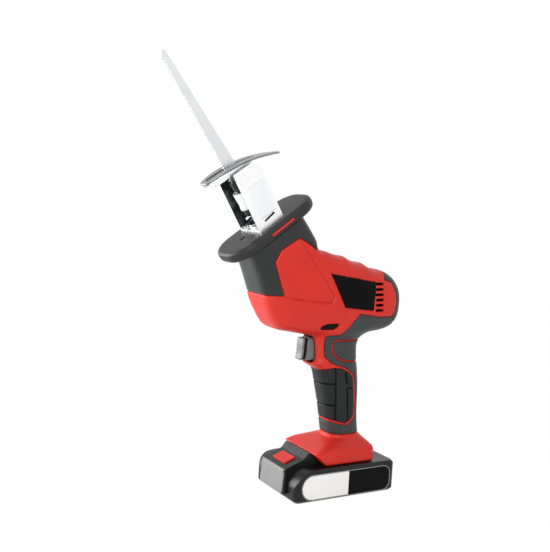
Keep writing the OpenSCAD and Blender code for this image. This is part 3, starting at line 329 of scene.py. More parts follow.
def quads_across(axis, inside, index):
    """Quads of the cells round each grid edge along an axis that the surface crosses."""
    ahead, e1, e2 = np.eye(3, dtype=int)[[axis, (axis + 1) % 3, (axis + 2) % 3]]
    limit = np.array(inside.shape) - ahead
    low = inside[:limit[0], :limit[1], :limit[2]]
    high = inside[ahead[0]:, ahead[1]:, ahead[2]:]
    spots = np.argwhere(low != high)
    spots = spots[(spots[:, (axis + 1) % 3] > 0) & (spots[:, (axis + 2) % 3] > 0)]
    spots = spots[(spots < np.array(index.shape)).all(1)]
    ring = np.stack([index[tuple((spots - s).T)] for s in (e1 + e2, e2, 0 * e1, e1)], 1)
    leaving = low[tuple(spots.T)]
    return np.where(leaving[:, None], ring, ring[:, ::-1])


def surface(values, grid):
    """Points and quads of the surface where a field crosses zero."""
    inside = values < 0
    shape = np.array(values.shape) - 1
    filled = sum(inside[i:i + shape[0], j:j + shape[1], k:k + shape[2]].astype(np.int8)
                 for i, j, k in CORNERS)
    cells = np.argwhere((filled > 0) & (filled < len(CORNERS)))
    index = np.full(shape, -1, np.int64)
    index[tuple(cells.T)] = np.arange(len(cells))
    points = grid.low + (cells + crossings(values, cells)) * grid.step
    return points, np.vstack([quads_across(axis, inside, index) for axis in range(3)])


EVEN_ROUNDS = 2


def evened(points, quads):
    """Points moved half way to the middle of their neighbours, a few times over."""
    edges = np.vstack([quads[:, [i, (i + 1) % 4]] for i in range(4)])
    edges = np.unique(np.sort(edges, 1), axis=0)
    start, end = np.vstack((edges, edges[:, ::-1])).T
    count = np.bincount(start, minlength=len(points))[:, None]
    for _ in range(EVEN_ROUNDS):
        near = [np.bincount(start, points[end, k], len(points)) for k in range(3)]
        points = (points + np.stack(near, 1) / np.maximum(count, 1)) / 2
    return points


def new_mesh(name, points, faces):
    """A smooth-shaded mesh object from points in metres and faces of one size."""
    mesh = bpy.data.meshes.new(name)
    mesh.vertices.add(len(points))
    mesh.vertices.foreach_set("co", np.asarray(points, np.float32).ravel())
    size = faces.shape[1]
    mesh.loops.add(faces.size)
    mesh.loops.foreach_set("vertex_index", faces.astype(np.int32).ravel())
    mesh.polygons.add(len(faces))
    mesh.polygons.foreach_set("loop_start", np.arange(0, faces.size, size, dtype=np.int32))
    mesh.polygons.foreach_set("use_smooth", np.ones(len(faces), bool))
    mesh.update(calc_edges=True)
    mesh.validate()
    piece = bpy.data.objects.new(name, mesh)
    bpy.context.scene.collection.objects.link(piece)
    return piece


def place(piece, material, body_name, slot, *nodes):
    """Dresses a piece and makes it ride, in place of the given nodes."""
    piece.data.materials.clear()
    piece.data.materials.append(material)
    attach(piece, body_name)
    if nodes:
        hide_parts(*nodes)


def field_piece(name, values, grid, turn=None, mirror=False):
    """The closed mesh of a field, turned or mirrored where asked."""
    points, quads = surface(values, grid)
    points = evened(points, quads)
    if turn is not None:
        points = turn(points)
    if mirror:
        points = points * (1, -1, 1)
        quads = quads[:, ::-1]
    return new_mesh(name, points * MM, quads)


def half_piece(name, values, grid, mirror=False):
    """The mesh of a field on one side of the seam, closed along it."""
    piece = field_piece(name, values, grid, mirror=mirror)
    side = -1 if mirror else 1
    cut = bmesh.new()
    cut.from_mesh(piece.data)
    done = bmesh.ops.bisect_plane(
        cut, geom=cut.verts[:] + cut.edges[:] + cut.faces[:],
        plane_co=(0, side * SEAM * MM, 0), plane_no=(0, side, 0), clear_inner=True)
    rim = [part for part in done["geom_cut"] if isinstance(part, bmesh.types.BMEdge)]
    bmesh.ops.triangle_fill(cut, use_beauty=False, edges=rim, normal=(0, -side, 0))
    for edge in rim:
        edge.smooth = False
    cut.to_mesh(piece.data)
    cut.free()
    return piece


def linear(r, g, b):
    """A colour from its 0-255 screen values."""
    def channel(c):
        return c / 255 / 12.92 if c <= 10 else ((c / 255 + 0.055) / 1.055) ** 2.4

    return (channel(r), channel(g), channel(b), 1.0)


def math_node(tree, operation, *values):
    """The result of a math node on sockets or plain numbers."""
    node = tree.nodes.new("ShaderNodeMath")
    node.operation = operation
    for socket, value in zip(node.inputs, values):
        if isinstance(value, bpy.types.NodeSocket):
            tree.links.new(value, socket)
        else:
            socket.default_value = value
    return node.outputs[0]


def noise(tree, where, size, detail):
    """The level of a noise with patches of the given size in metres."""
    node = tree.nodes.new("ShaderNodeTexNoise")
    node.inputs["Scale"].default_value = 1 / size
    node.inputs["Detail"].default_value = detail
    tree.links.new(where, node.inputs["Vector"])
    return node.outputs["Fac"]


# How the tint drifts over every finish, and how its grain spreads the roughness
TINT_PATCH, TINT_DETAIL, TINT_RAMP = 0.03, 5, (0.3, 0.7)
GRAIN_DETAIL, ROUGH_SPREAD, ROUGH_LEAST = 3, 0.07, 0.03


def finish(name, colour, rough, metallic=0.0, vary=0.08, grain=0.0006, bump=0.1, specular=0.5):
    """A moulded or worked surface: a drifting tint, and fine grain in bump and roughness."""
    material = bpy.data.materials.new(name)
    material.use_nodes = True
    tree = material.node_tree
    nodes, links = tree.nodes, tree.links
    shader = nodes["Principled BSDF"]
    shader.inputs["Metallic"].default_value = metallic
    shader.inputs["Specular IOR Level"].default_value = specular
    where = nodes.new("ShaderNodeTexCoord").outputs["Object"]
    tint = nodes.new("ShaderNodeValToRGB")
    shares = (1 - vary, 1 + vary)
    for stop, position, share in zip(tint.color_ramp.elements, TINT_RAMP, shares):
        stop.position = position
        stop.color = tuple(min(c * share, 1) for c in colour[:3]) + (1,)
    links.new(noise(tree, where, TINT_PATCH, TINT_DETAIL), tint.inputs["Fac"])
    links.new(tint.outputs["Color"], shader.inputs["Base Color"])
    fine = noise(tree, where, grain, GRAIN_DETAIL)
    level = nodes.new("ShaderNodeMapRange")
    level.inputs["To Min"].default_value = max(rough - ROUGH_SPREAD, ROUGH_LEAST)
    level.inputs["To Max"].default_value = min(rough + ROUGH_SPREAD, 1)
    links.new(fine, level.inputs["Value"])
    links.new(level.outputs["Result"], shader.inputs["Roughness"])
    relief = nodes.new("ShaderNodeBump")
    relief.inputs["Strength"].default_value = bump
    relief.inputs["Distance"].default_value = grain
    links.new(fine, relief.inputs["Height"])
    links.new(relief.outputs["Normal"], shader.inputs["Normal"])
    return material


# Plastics and rubbers
RED = finish("red_shell", linear(208, 44, 31), 0.4, vary=0.05, bump=0.12, specular=0.3)
RUBBER_SKIN = finish("grip_rubber", linear(62, 64, 64), 0.42,
                     vary=0.12, grain=0.0009, bump=0.3, specular=0.2)
GRIP_SKIN = finish("front_grip_rubber", linear(34, 37, 37), 0.45,
                   vary=0.12, grain=0.0009, bump=0.35, specular=0.18)
BOOT_SKIN = finish("boot_rubber", linear(28, 30, 30), 0.24,
                   vary=0.12, grain=0.0009, bump=0.1, specular=0.42)
GUARD = finish("guard_rubber", linear(48, 48, 48), 0.42,
               vary=0.1, grain=0.0009, bump=0.25, specular=0.2)
BLACK_PANEL = finish("black_panel", linear(9, 7, 7), 0.4, vary=0.1, bump=0.15, specular=0.07)
BLACK = finish("black_plastic", linear(13, 13, 14), 0.45, vary=0.1, bump=0.15, specular=0.1)
GREY = finish("grey_plastic", linear(112, 113, 114), 0.42, vary=0.06, bump=0.12, specular=0.3)
# The label beads' pale grey is a painted highlight
BEAD_HIGHLIGHT_GREY = finish("label_bead_painted_highlight", linear(138, 139, 140), 0.35,
                   vary=0.05, bump=0.12, specular=0.4)
PADDLE = finish("paddle_plastic", linear(104, 105, 106), 0.35,
                vary=0.05, bump=0.12, specular=0.3)
# The front plate's pale grey is painted light on the dark pack's lit front
FRONT_LIGHT_GREY = finish("pack_front_painted_light", linear(132, 132, 132), 0.4, vary=0.05, bump=0.2, specular=0.3)
PACK = finish("pack_plastic", linear(19, 19, 19), 0.28, vary=0.1, bump=0.2, specular=0.28)
WHITE = finish("white_label", linear(244, 244, 242), 0.35, vary=0.015, bump=0.05)
CELL = finish("cell_wrap", linear(54, 92, 140), 0.4, vary=0.05, bump=0.05)
BOARD = finish("board", linear(24, 84, 48), 0.4, vary=0.08, bump=0.1)
# Metals
BRIGHT = finish("plated_sheet", linear(244, 245, 246), 0.3,
                metallic=0.8, vary=0.03, grain=0.0012, bump=0.06)
BRACKET = finish("bracket_sheet", linear(250, 250, 250), 0.3,
                 metallic=0.8, vary=0.02, grain=0.0012, bump=0.06)
# The shoe's plate: the plated sheet painted dark grey, a painted reflection of dark surroundings
SHOE = finish("shoe_sheet_painted_reflection", linear(140, 140, 141), 0.3,
              metallic=1.0, vary=0.05, grain=0.0012, bump=0.06)
BLADE = finish("blade_steel", linear(228, 229, 230), 0.36,
               metallic=1.0, vary=0.03, grain=0.0012, bump=0.06)
CHROME = finish("bright_steel", linear(208, 209, 211), 0.18, metallic=1.0, vary=0.03, bump=0.04)
DARK_STEEL = finish("dark_steel", linear(40, 40, 42), 0.35, metallic=0.6, vary=0.12, bump=0.1)
STEEL = finish("steel", linear(168, 169, 171), 0.3, metallic=1.0, vary=0.05, bump=0.06)
ALLOY = finish("case_alloy", linear(160, 161, 163), 0.45, metallic=0.9, vary=0.06, bump=0.2)
COPPER = finish("copper", linear(184, 115, 72), 0.35, metallic=1.0, vary=0.08, bump=0.1)

SLOT_FINISH = {
    "red_shell": RED, "grip_rubber": RUBBER_SKIN, "guard_rubber": GUARD, "red_trim": RED,
    "black_panel": BLACK_PANEL, "white_label": WHITE, "case_alloy": ALLOY, "bronze": COPPER,
    "steel": STEEL, "lamination": STEEL, "copper": COPPER, "carbon": BLACK, "ferrite": BLACK,
    "bright_steel": CHROME, "dark_steel": DARK_STEEL, "blade_steel": BLADE,
    "plated_sheet": BRIGHT, "grey_plastic": GREY, "black_plastic": BLACK, "pack_plastic": PACK,
    "cell_wrap": CELL, "board": BOARD,
}
# The motor can and end bell, seen through the vents, take dark finishes as painted shade inside the
# housing
NODE_FINISH = {
    "shoe_bracket": BRACKET, "shoe_rivets": BRACKET, "clamp_collar": BRIGHT,
    "housing_screws": DARK_STEEL, "motor_can": DARK_STEEL, "end_bell": BLACK,
}
# In metres and degrees
WELD, FLAT = 0.00001, 1
EDGE_ROUND, EDGE_ANGLE, EDGE_STEPS = 0.0003, 35, 2


def dress_nodes():
    """Each carried-over solid gets its slot's finish and small rounded edges."""
    for row in frame["record"]["subparts"]:
        node = frame["nodes"][row["node"]]
        node.data.materials.clear()
        node.data.materials.append(NODE_FINISH.get(row["node"], SLOT_FINISH[row["material_slot"]]))
        weld = node.modifiers.new("weld", "WELD")
        weld.merge_threshold = WELD
        planes = node.modifiers.new("planes", "DECIMATE")
        planes.decimate_type = "DISSOLVE"
        planes.angle_limit = math.radians(FLAT)
        edges = node.modifiers.new("edges", "BEVEL")
        edges.width = EDGE_ROUND
        edges.segments = EDGE_STEPS
        edges.limit_method = "ANGLE"
        edges.angle_limit = math.radians(EDGE_ANGLE)


# Painted shade inside the shoe bracket: half its width, and where its back wall and foot end it
BRACKET_LEAN = 0.13
INSIDE_HALF, INSIDE_BACK, INSIDE_FOOT = 18.3, 12.7, 3.0
INSIDE_SHADE_TINT = (70, 71, 72)
# A mix node's two colours and its result
MIX_A, MIX_B, MIX_OUT = 6, 7, 2


def paint_shade_inside(material, node, colour, limits):
    """The finish takes a painted shade colour where a point lies below every limit along its
    direction.
    """
    tree = material.node_tree
    nodes, links = tree.nodes, tree.links
    where = nodes.new("ShaderNodeTexCoord").outputs["Object"]
    masks = []
    for direction, limit in limits:
        along = nodes.new("ShaderNodeVectorMath")
        along.operation = "DOT_PRODUCT"
        links.new(where, along.inputs[0])
        along.inputs[1].default_value = node.matrix_world.to_3x3().transposed() @ Vector(direction)
        reach = limit * MM - node.matrix_world.translation.dot(Vector(direction))
        masks.append(math_node(tree, "LESS_THAN", along.outputs["Value"], reach))
    inside = functools.reduce(functools.partial(math_node, tree, "MULTIPLY"), masks)
    base = nodes["Principled BSDF"].inputs["Base Color"]
    mix = nodes.new("ShaderNodeMix")
    mix.data_type = "RGBA"
    links.new(inside, mix.inputs["Factor"])
    links.new(base.links[0].from_socket, mix.inputs[MIX_A])
    mix.inputs[MIX_B].default_value = colour
    links.new(mix.outputs[MIX_OUT], base)


def paint_bracket_shade():
    """The bracket is painted darker between its side walls, as painted shade."""
    up = np.array((math.cos(HEAD), 0, math.sin(HEAD)))
    across = np.array((-math.sin(HEAD), 0, math.cos(HEAD)))
    back = across - BRACKET_LEAN * up
    at = np.array((CRANK_X, 0, CRANK_Z))
    start = NECK + GUARD_T
    limits = [
        ((0, 1, 0), INSIDE_HALF), ((0, -1, 0), INSIDE_HALF),
        (back, back @ at + INSIDE_BACK - BRACKET_LEAN * start),
        (-up, -(up @ at) - start - INSIDE_FOOT),
    ]
    paint_shade_inside(BRACKET, frame["nodes"]["shoe_bracket"], linear(*INSIDE_SHADE_TINT), limits)


# The shell halves
SHELL_BLOCK = (-70, -4.4, 29), (106, 35, 290)
ZONE_EDGE, CUT_EDGE = 0.5, 0.6
HOLLOW_Z = FOOT_Z + 16.5
BORE_R, BORE_L = 13.3, 10
SCREWS = [
    mid(38, -21), mid(-27, 28), mid(-62, 18), mid(-100, -28), mid(-49, -30), grip_at(0.4, -6),
    grip_at(0.12, -2),
]
SCREW_R, SCREW_Y = 3.5, 9.6
VENTS, VENT_X, VENT_Z, VENT_SHIFT = 6, -78, -6.7, 0.2
VENT_PITCH, VENT_L, VENT_H = 5.3, 11.0, 2.6
# Where the barrel's top runs, from the crank axis
TOP_LINE = [
    (-95, 17), (-83, 21), (-69.5, 25), (-56, 29), (-45, 32), (-34, 35), (-23, 38), (-11, 39),
]
SCALLOP_X, SCALLOP_PITCH, SCALLOPS = -50.5, 23.3, 3
SCALLOP_DEPTH, SCALLOP_FADE = 2.0, 13.0
LOCK = [mid(-29, -34), mid(-16.6, -34.4), mid(-12.6, -36), mid(-25.4, -36.2)]
LOCK_R, LOCK_REACH, LOCK_EDGE = 1.8, 24.4, 1.2
TRIGGER_Z0, TRIGGER_Z1, TRIGGER_W = 132.3, 155.3, 14.0
POCKET_X0, POCKET_X1 = 7.3, 70
LIP, LIP_SINK = 1.6, 0.9
# The slide channel: half width, and height from and to above the foot's underside
RAIL = [(20.3, 4.6, 9), (16.8, -2, 8)]
RAIL_END = 9


def scallops(grid):
    """How far the finger scallops sink the top of the barrel, fading down its sides."""
    x, z = grid.px - CRANK_X, grid.pz - CRANK_Z
    t = (x - SCALLOP_X) / SCALLOP_PITCH
    dent = np.where(np.abs(t) < SCALLOPS / 2, 1 - 4 * (t - np.round(t)) ** 2, 0)
    below = np.interp(x, *zip(*TOP_LINE)) - z
    return lift(SCALLOP_DEPTH * dent * np.clip(1 - below / SCALLOP_FADE, 0, 1))


def vents(grid):
    """The row of slots beside the name panel."""
    slots = []
    for i in range(VENTS):
        x, z = mid(VENT_X + VENT_SHIFT * i, VENT_Z + (i - (VENTS - 1) / 2) * VENT_PITCH)
        reach = (VENT_L - VENT_H) / 2
        slots.append(stroke(grid, [(x - reach, z), (x + reach, z)], VENT_H))
    return lift(np.min(slots, 0))


def grip_area(grid):
    """Side-view field of the handle's rubber, less the red lines in it."""
    red = stroke(grid, RED_LINE, RED_LINE_W)
    lines = np.minimum(red, stroke(grid, LOOP_LINE, LOOP_LINE_W))
    return np.maximum(polygon(grid, GRIP_ZONE), -lines)


def trigger_room(grid, more=0.0):
    """The trigger's pocket, wider by what its lip needs."""
    room = GAP + more
    return overlap(slab(grid.x, POCKET_X0, POCKET_X1), np.abs(grid.y) - TRIGGER_W / 2 - room,
                   slab(grid.z, TRIGGER_Z0 - room, TRIGGER_Z1 + room))


def rail_room(grid):
    """The slide channel in the foot's underside."""
    wide, narrow = (np.maximum(np.abs(grid.y) - half, slab(grid.z, FOOT_Z + low, FOOT_Z + high))
                    for half, low, high in RAIL)
    return np.maximum(np.minimum(wide, narrow), FOOT_X0 + RAIL_END - grid.x)


def plunger_bore(grid):
    """The round bore at the end of the neck, on the stroke axis."""
    x, z = grid.px - CRANK_X, grid.pz - CRANK_Z
    u = x * math.cos(HEAD) + z * math.sin(HEAD)
    w = z * math.cos(HEAD) - x * math.sin(HEAD)
    return np.maximum(np.hypot(lift(w), grid.y) - BORE_R, lift(NECK - BORE_L - u))


def screw_rooms(grid):
    """The holes over the housing screws."""
    holes = np.min([np.hypot(grid.px - x, grid.pz - z) for x, z in SCREWS], 0)
    return np.maximum(lift(holes) - SCREW_R, SCREW_Y - grid.y)


def shell(grid):
    """Field of the shell on the left of the seam and a little past it."""
    outer = round_min(skin(grid), foot(grid), FOOT_BLEND)
    edge = polygon(grid, PANEL_ZONE)
    groove = np.abs(edge - PANEL_RIM) - PANEL_GROOVE / 2
    rise = PANEL_RISE * fade(edge, PANEL_FADE)
    rise = rise - PANEL_GROOVE_DEPTH * fade(groove, LINE_FADE)
    rise = rise - CREASE_DEPTH * fade(stroke(grid, CREASE, CREASE_W), LINE_FADE)
    solid = outer - lift(rise) + scallops(grid)
    inner_skin = skin(grid, RUBBER)
    for area in (polygon(grid, BOOT_ZONE), polygon(grid, CAP_ZONE), grip_area(grid)):
        solid = round_max(solid, -np.maximum(lift(area), -inner_skin), ZONE_EDGE)
    recess = np.maximum(lift(polygon(grid, NAME_ZONE)), -body(grid, NAME_DEPTH))
    solid = round_max(solid, -recess, ZONE_EDGE)
    hollow = np.minimum(body(grid, WALL, drop=2), loft(grid, HANDLE, WALL))
    solid = np.maximum(solid, -np.maximum(hollow, HOLLOW_Z - grid.z))
    lock_room = lift(polygon(grid, LOCK)) - LOCK_R - GAP
    for cut in (vents(grid), lock_room, trigger_room(grid, LIP), rail_room(grid)):
        solid = round_max(solid, -cut, CUT_EDGE)
    return np.maximum(solid, -plunger_bore(grid))


def make_shells():
    """The two red halves; the screws go in from the right."""
    grid = Grid(*SHELL_BLOCK)
    solid = shell(grid)
    place(half_piece("left_shell", solid, grid), RED, "tool_body", "red_shell", "left_housing")
    drilled = np.maximum(solid, -screw_rooms(grid))
    right = half_piece("right_shell", drilled, grid, mirror=True)
    place(right, RED, "tool_body", "red_shell", "right_housing")


# The rubber skins and panels on the shell
GRIP_BLOCK = (-70, -4.4, 53), (44, 33, 182)
BOOT_BLOCK = (40, -33, 195), (116, 33, 290)
CAP_BLOCK = (-70, -31, 170), (-30, 31, 232)
NAME_BLOCK = (-32, -33, 180), (28, 33, 226)
SKIN_EDGE, CAP_EDGE = 1.0, 1.2
GRIP_GROOVES = [
    ([grip_at(0.486, 40), grip_at(0.491, 11)], 1.6),
    ([grip_at(0.286, 40), grip_at(0.293, 13)], 1.6),
    ([grip_at(0.64, 9.8), grip_at(0.4, 11.6), grip_at(0.15, 13.8)], 1.5),
    ([grip_at(0.449, -1.8), grip_at(0.14, 0.4)], 1.5),
    ([grip_at(0.589, -1.7), grip_at(0.497, -2.2)], 2.2),
    ([grip_at(0.449, -1.8), grip_at(0.445, -9.5)], 1.4),
]
# A black strip below the grooves paints shade in them, and runs on under the rubber beside them
GROOVE_DEPTH, GROOVE_SHADE_MORE = 0.5, 0.8


def make_grips():
    """Skins of the handle: what lies ahead of the red line, the rest, and the dark lines of painted
    shade in its grooves.
    """
    grid = Grid(*GRIP_BLOCK)
    outer, inner = skin(grid), skin(grid, RUBBER)
    grooves = lift(np.min([stroke(grid, line, width) for line, width in GRIP_GROOVES], 0))
    solid = round_max(outer, lift(grip_area(grid)) + FIT, SKIN_EDGE)
    solid = round_max(np.maximum(solid, -inner), -trigger_room(grid, LIP), CUT_EDGE)
    front = lift(polygon(grid, FRONT_ZONE))
    groove_shade = overlap(outer + GROOVE_DEPTH, -inner, grooves - GROOVE_SHADE_MORE, front + GROOVE_SHADE_MORE)
    solid = round_max(solid, -grooves, CUT_EDGE)
    parts = (("front", np.maximum(solid, front), GRIP_SKIN),
             ("rear", np.maximum(solid, -front), RUBBER_SKIN), ("lines", groove_shade, BLACK))
    for part, values, material in parts:
        for side in ("left", "right"):
            piece = half_piece(side + "_grip_" + part, values, grid, mirror=side == "right")
            replaced = [side + "_grip"] if part == "front" else []
            place(piece, material, "tool_body", "grip_rubber", *replaced)


def make_boot():
    """The rubber boot round the neck."""
    grid = Grid(*BOOT_BLOCK)
    solid = round_max(body(grid), lift(polygon(grid, BOOT_ZONE)) + FIT, SKIN_EDGE)
    piece = field_piece("nose_boot_skin", np.maximum(solid, -body(grid, RUBBER)), grid)
    place(piece, BOOT_SKIN, "tool_body", "grip_rubber", "nose_boot")


def make_cap():
    """The rubber cap at the rear of the barrel."""
    grid = Grid(*CAP_BLOCK)
    zone = lift(polygon(grid, CAP_ZONE)) + FIT
    solid = round_max(body(grid) + scallops(grid), zone, CAP_EDGE)
    solid = np.maximum(solid, -body(grid, RUBBER, drop=1))
    piece = field_piece("rear_cap_skin", solid, grid)
    place(piece, RUBBER_SKIN, "tool_body", "grip_rubber", "rear_cap")


def make_name_panels():
    """The bare black panel on each side of the barrel."""
    grid = Grid(*NAME_BLOCK)
    solid = round_max(body(grid, NAME_SINK), lift(polygon(grid, NAME_ZONE)) + FIT, CUT_EDGE)
    piece = field_piece("name_panel_pair", np.maximum(solid, -body(grid, NAME_DEPTH)), grid)
    place(piece, BLACK_PANEL, "tool_body", "black_panel", "name_panels")


# The front guard, in the head's own axes
GUARD_L, GUARD_W, GUARD_R, GUARD_EDGE = 103.0, 59.0, 24.0, 5.0
GUARD_SHIFT, GUARD_BORE_R = 0.5, 6.6
GUARD_BLOCK = (
    (NECK - MARGIN, -GUARD_W / 2 - MARGIN, -GUARD_L / 2 - MARGIN),
    (NECK + GUARD_T + MARGIN, GUARD_W / 2 + MARGIN, GUARD_L / 2 + MARGIN + GUARD_SHIFT),
)
# The red strip's bed in each side, and the short slot in the face: half sizes, place, depth
STRIP_HALF_T, STRIP_HALF_L, STRIP_AT, STRIP_DEPTH = 1.1, 14, 4, 1.2
SLOT_HALF_W, SLOT_HALF_L, SLOT_AT, SLOT_DEPTH = 1.2, 3, -25, 2.5


def head_turn(points):
    """Points along, beside and across the stroke axis, turned to their place."""
    u, y, w = points.T
    x, z = head(u, w)
    return np.stack((x, y, z), 1)


def make_guard():
    """The thick rounded plate at the end of the neck."""
    grid = Grid(*GUARD_BLOCK)
    plan = round_box(grid.z - GUARD_SHIFT, grid.y, GUARD_L / 2, GUARD_W / 2, GUARD_R)
    solid = round_max(plan, slab(grid.x, NECK, NECK + GUARD_T), GUARD_EDGE)
    bore = np.hypot(grid.y, grid.z) - GUARD_BORE_R
    strip = overlap(np.abs(grid.x - NECK - GUARD_T / 2) - STRIP_HALF_T,
                    np.abs(grid.z - STRIP_AT) - STRIP_HALF_L,
                    GUARD_W / 2 - STRIP_DEPTH - np.abs(grid.y))
    slot = overlap(np.abs(grid.y) - SLOT_HALF_W, np.abs(grid.z - SLOT_AT) - SLOT_HALF_L,
                   NECK + GUARD_T - SLOT_DEPTH - grid.x)
    piece = field_piece("front_guard_plate", overlap(solid, -bore, -strip, -slot), grid, head_turn)
    place(piece, GUARD, "tool_body", "guard_rubber", "front_guard")


# The trigger: a paddle, a body behind it, and a dark neck in the groove between them, its black a
# painted shade in the groove
TRIGGER_BLOCK = (11, -10.5, 130), (51, 10.5, 157.5)
TRIGGER_X0, TRIGGER_NOSE, TRIGGER_LEAN = 13.63, 44.3, 0.26
TRIGGER_HOLLOW_R, TRIGGER_HOLLOW = 40.0, 4.6
HOLLOW_EDGE, CHEEK_EDGE, END_EDGE, GROOVE_EDGE = 2.0, 3.0, 2.5, 0.8
PADDLE_T, GROOVE_T = 1.9, 3.0
NECK_HALF, NECK_INSET = 6.1, 0.9
LIP_BLOCK = (12, -12, 128), (46, 12, 159)
LIP_FIT, LIP_X0 = 0.1, 13
LOCK_BLOCK = (7, -LOCK_REACH - MARGIN, 163), (36, LOCK_REACH + MARGIN, 176)


def make_trigger():
    """The trigger's three pieces, on a finer grid."""
    grid = Grid(*TRIGGER_BLOCK, STEP / 2)
    nose = TRIGGER_NOSE - TRIGGER_LEAN * (grid.z - TRIGGER_Z0)
    middle = (TRIGGER_Z0 + TRIGGER_Z1) / 2
    reach = grid.x - TRIGGER_NOSE - TRIGGER_HOLLOW_R + TRIGGER_HOLLOW
    hollow = np.hypot(reach, grid.z - middle) - TRIGGER_HOLLOW_R
    front = round_max(grid.x - nose, -hollow, HOLLOW_EDGE)
    block = round_max(np.abs(grid.y) - TRIGGER_W / 2, front, CHEEK_EDGE)
    block = round_max(block, slab(grid.z, TRIGGER_Z0, TRIGGER_Z1), END_EDGE)
    block = round_max(block, TRIGGER_X0 - grid.x, GROOVE_EDGE)
    paddle = round_max(block, -front - PADDLE_T, GROOVE_EDGE)
    rear = round_max(block, front + PADDLE_T + GROOVE_T, GROOVE_EDGE)
    neck = overlap(block + NECK_INSET, np.abs(grid.y) - NECK_HALF,
                   np.abs(front + PADDLE_T + GROOVE_T / 2) - GROOVE_T)
    place(field_piece("trigger_paddle", paddle, grid), PADDLE, "trigger", "grey_plastic", "trigger")
    place(field_piece("trigger_body", rear, grid), GREY, "trigger", "grey_plastic")
    # The black neck joins paddle and body and stands in for shade at the groove's bottom
    place(field_piece("trigger_neck", neck, grid), BLACK, "trigger", "black_plastic")


def make_trigger_lip():
    """The dark lip of the shell round the trigger, black as painted shade in the gap round it."""
    grid = Grid(*LIP_BLOCK, STEP / 2)
    solid = overlap(skin(grid) + LIP_SINK, trigger_room(grid, LIP - LIP_FIT), -trigger_room(grid),
                    LIP_X0 - grid.x)
    place(field_piece("trigger_lip", solid, grid), BLACK, "tool_body", "black_plastic")


def make_lock():
    """The cross button above the trigger."""
    grid = Grid(*LOCK_BLOCK, STEP / 2)
    solid = round_max(lift(polygon(grid, LOCK)) - LOCK_R, np.abs(grid.y) - LOCK_REACH, LOCK_EDGE)
    piece = field_piece("lock_bar", solid, grid)
    place(piece, BLACK, "lock_button", "black_plastic", "lock_button")


# The curved shoe, in the head's own axes
SHOE_BLOCK = (123, -15.5, -33.5), (144.5, 15.5, 52)
SHOE_FINENESS = 0.4
SHOE_U, SHOE_APEX, SHOE_ARC, SHEET = 142.5, -20.2, 155.0, 2.0
SHOE_HALF, SHOE_W0, SHOE_W1 = 14.0, -31.5, 50.0
SHOE_SLOT, SHOE_SLOT_W0, SHOE_SLOT_W1 = 8.4, -27.0, 28.0
# The front narrows from TAPER_W on, by TAPER_IN over TAPER_L
TAPER_W, TAPER_L, TAPER_IN = -16, 15, 6
TAPER_EDGE, FRONT_EDGE, REAR_EDGE, SLOT_EDGE = 5.0, 4.0, 14.0, 4.0
SHEET_EDGE, HOLE_EDGE = 0.5, 0.4
RIVET, RIVET_HOLE, HUB_R = (131.5, 4.0), 5.2, 6
EAR = [
    (SHOE_U, -32), (136, -32), (134.8, -22), (135.5, -8), (131.5, -2), (131.5, 10),
    (SHOE_U - 4, 20),
]
EAR_Y, EAR_INSET = 8.0, 0.1


def make_shoe():
    """The shoe's plate, with its slot and narrow front, and the ears at its rivets."""
    grid = Grid(*SHOE_BLOCK, STEP * SHOE_FINENESS)
    arc = np.hypot(grid.x - SHOE_U + SHOE_ARC, grid.z - SHOE_APEX) - SHOE_ARC
    beside = np.abs(grid.y) - SHOE_HALF
    corner = (beside * TAPER_L - (grid.z - TAPER_W) * TAPER_IN) / math.hypot(TAPER_L, TAPER_IN)
    plan = round_max(beside, corner, TAPER_EDGE)
    plan = round_max(plan, SHOE_W0 - grid.z, FRONT_EDGE)
    plan = round_max(plan, grid.z - SHOE_W1, REAR_EDGE)
    slot = round_max(np.abs(grid.y) - SHOE_SLOT / 2, slab(grid.z, SHOE_SLOT_W0, SHOE_SLOT_W1),
                     SLOT_EDGE)
    plate = round_max(round_max(slab(arc, -SHEET, 0), plan, SHEET_EDGE), -slot, HOLE_EDGE)
    hub = np.hypot(grid.x - RIVET[0], grid.z - RIVET[1])
    ears = np.minimum(lift(polygon(grid, EAR)), hub - HUB_R)
    ears = overlap(ears, RIVET_HOLE / 2 - hub, slab(plan, -SHEET, -EAR_INSET), arc + SHEET,
                   EAR_Y - np.abs(grid.y))
    plate = field_piece("shoe_plate", plate, grid, head_turn)
    # The plate's dark grey is a painted reflection; the ears keep the bright plated finish
    place(plate, SHOE, "shoe", "plated_sheet", "shoe")
    ears = field_piece("shoe_ears", ears, grid, head_turn)
    place(ears, BRIGHT, "shoe", "plated_sheet")


# The raised field pressed in each side of the shoe bracket, in the head's own axes
BRACKET_HALF, PRESS_RISE, PRESS_SINK, PRESS_R = 20.0, 0.6, 0.5, 1.5
PRESS_ZONE = [(87.0, -8.0), (87.0, 11.5), (122.0, 15.0), (122.0, -5.0)]
PRESS_BLOCK = (85, BRACKET_HALF - 2, -11), (124, BRACKET_HALF + 2, 18)


def make_bracket_presses():
    """One raised field on each side."""
    grid = Grid(*PRESS_BLOCK, STEP / 2)
    sheet = slab(grid.y, BRACKET_HALF - PRESS_SINK, BRACKET_HALF + PRESS_RISE)
    solid = round_max(lift(polygon(grid, PRESS_ZONE)), sheet, PRESS_R)
    for side in ("left", "right"):
        piece = field_piece(side + "_press", solid, grid, head_turn, mirror=side == "right")
        place(piece, BRIGHT, "tool_body", "plated_sheet")


# The bead round each side label of the pack, pale grey as a painted highlight along it
LABEL_X0, LABEL_X1, LABEL_Z0, LABEL_Z1 = -51.5, 51.5, 2.5, 26.5
LABEL_R, ARC_POINTS = 8.0, 25
BEAD_OFF, BEAD_W, BEAD_RISE, BEAD_SHOULDER, BEAD_SINK = 0.5, 0.8, 0.3, 0.18, 0.6


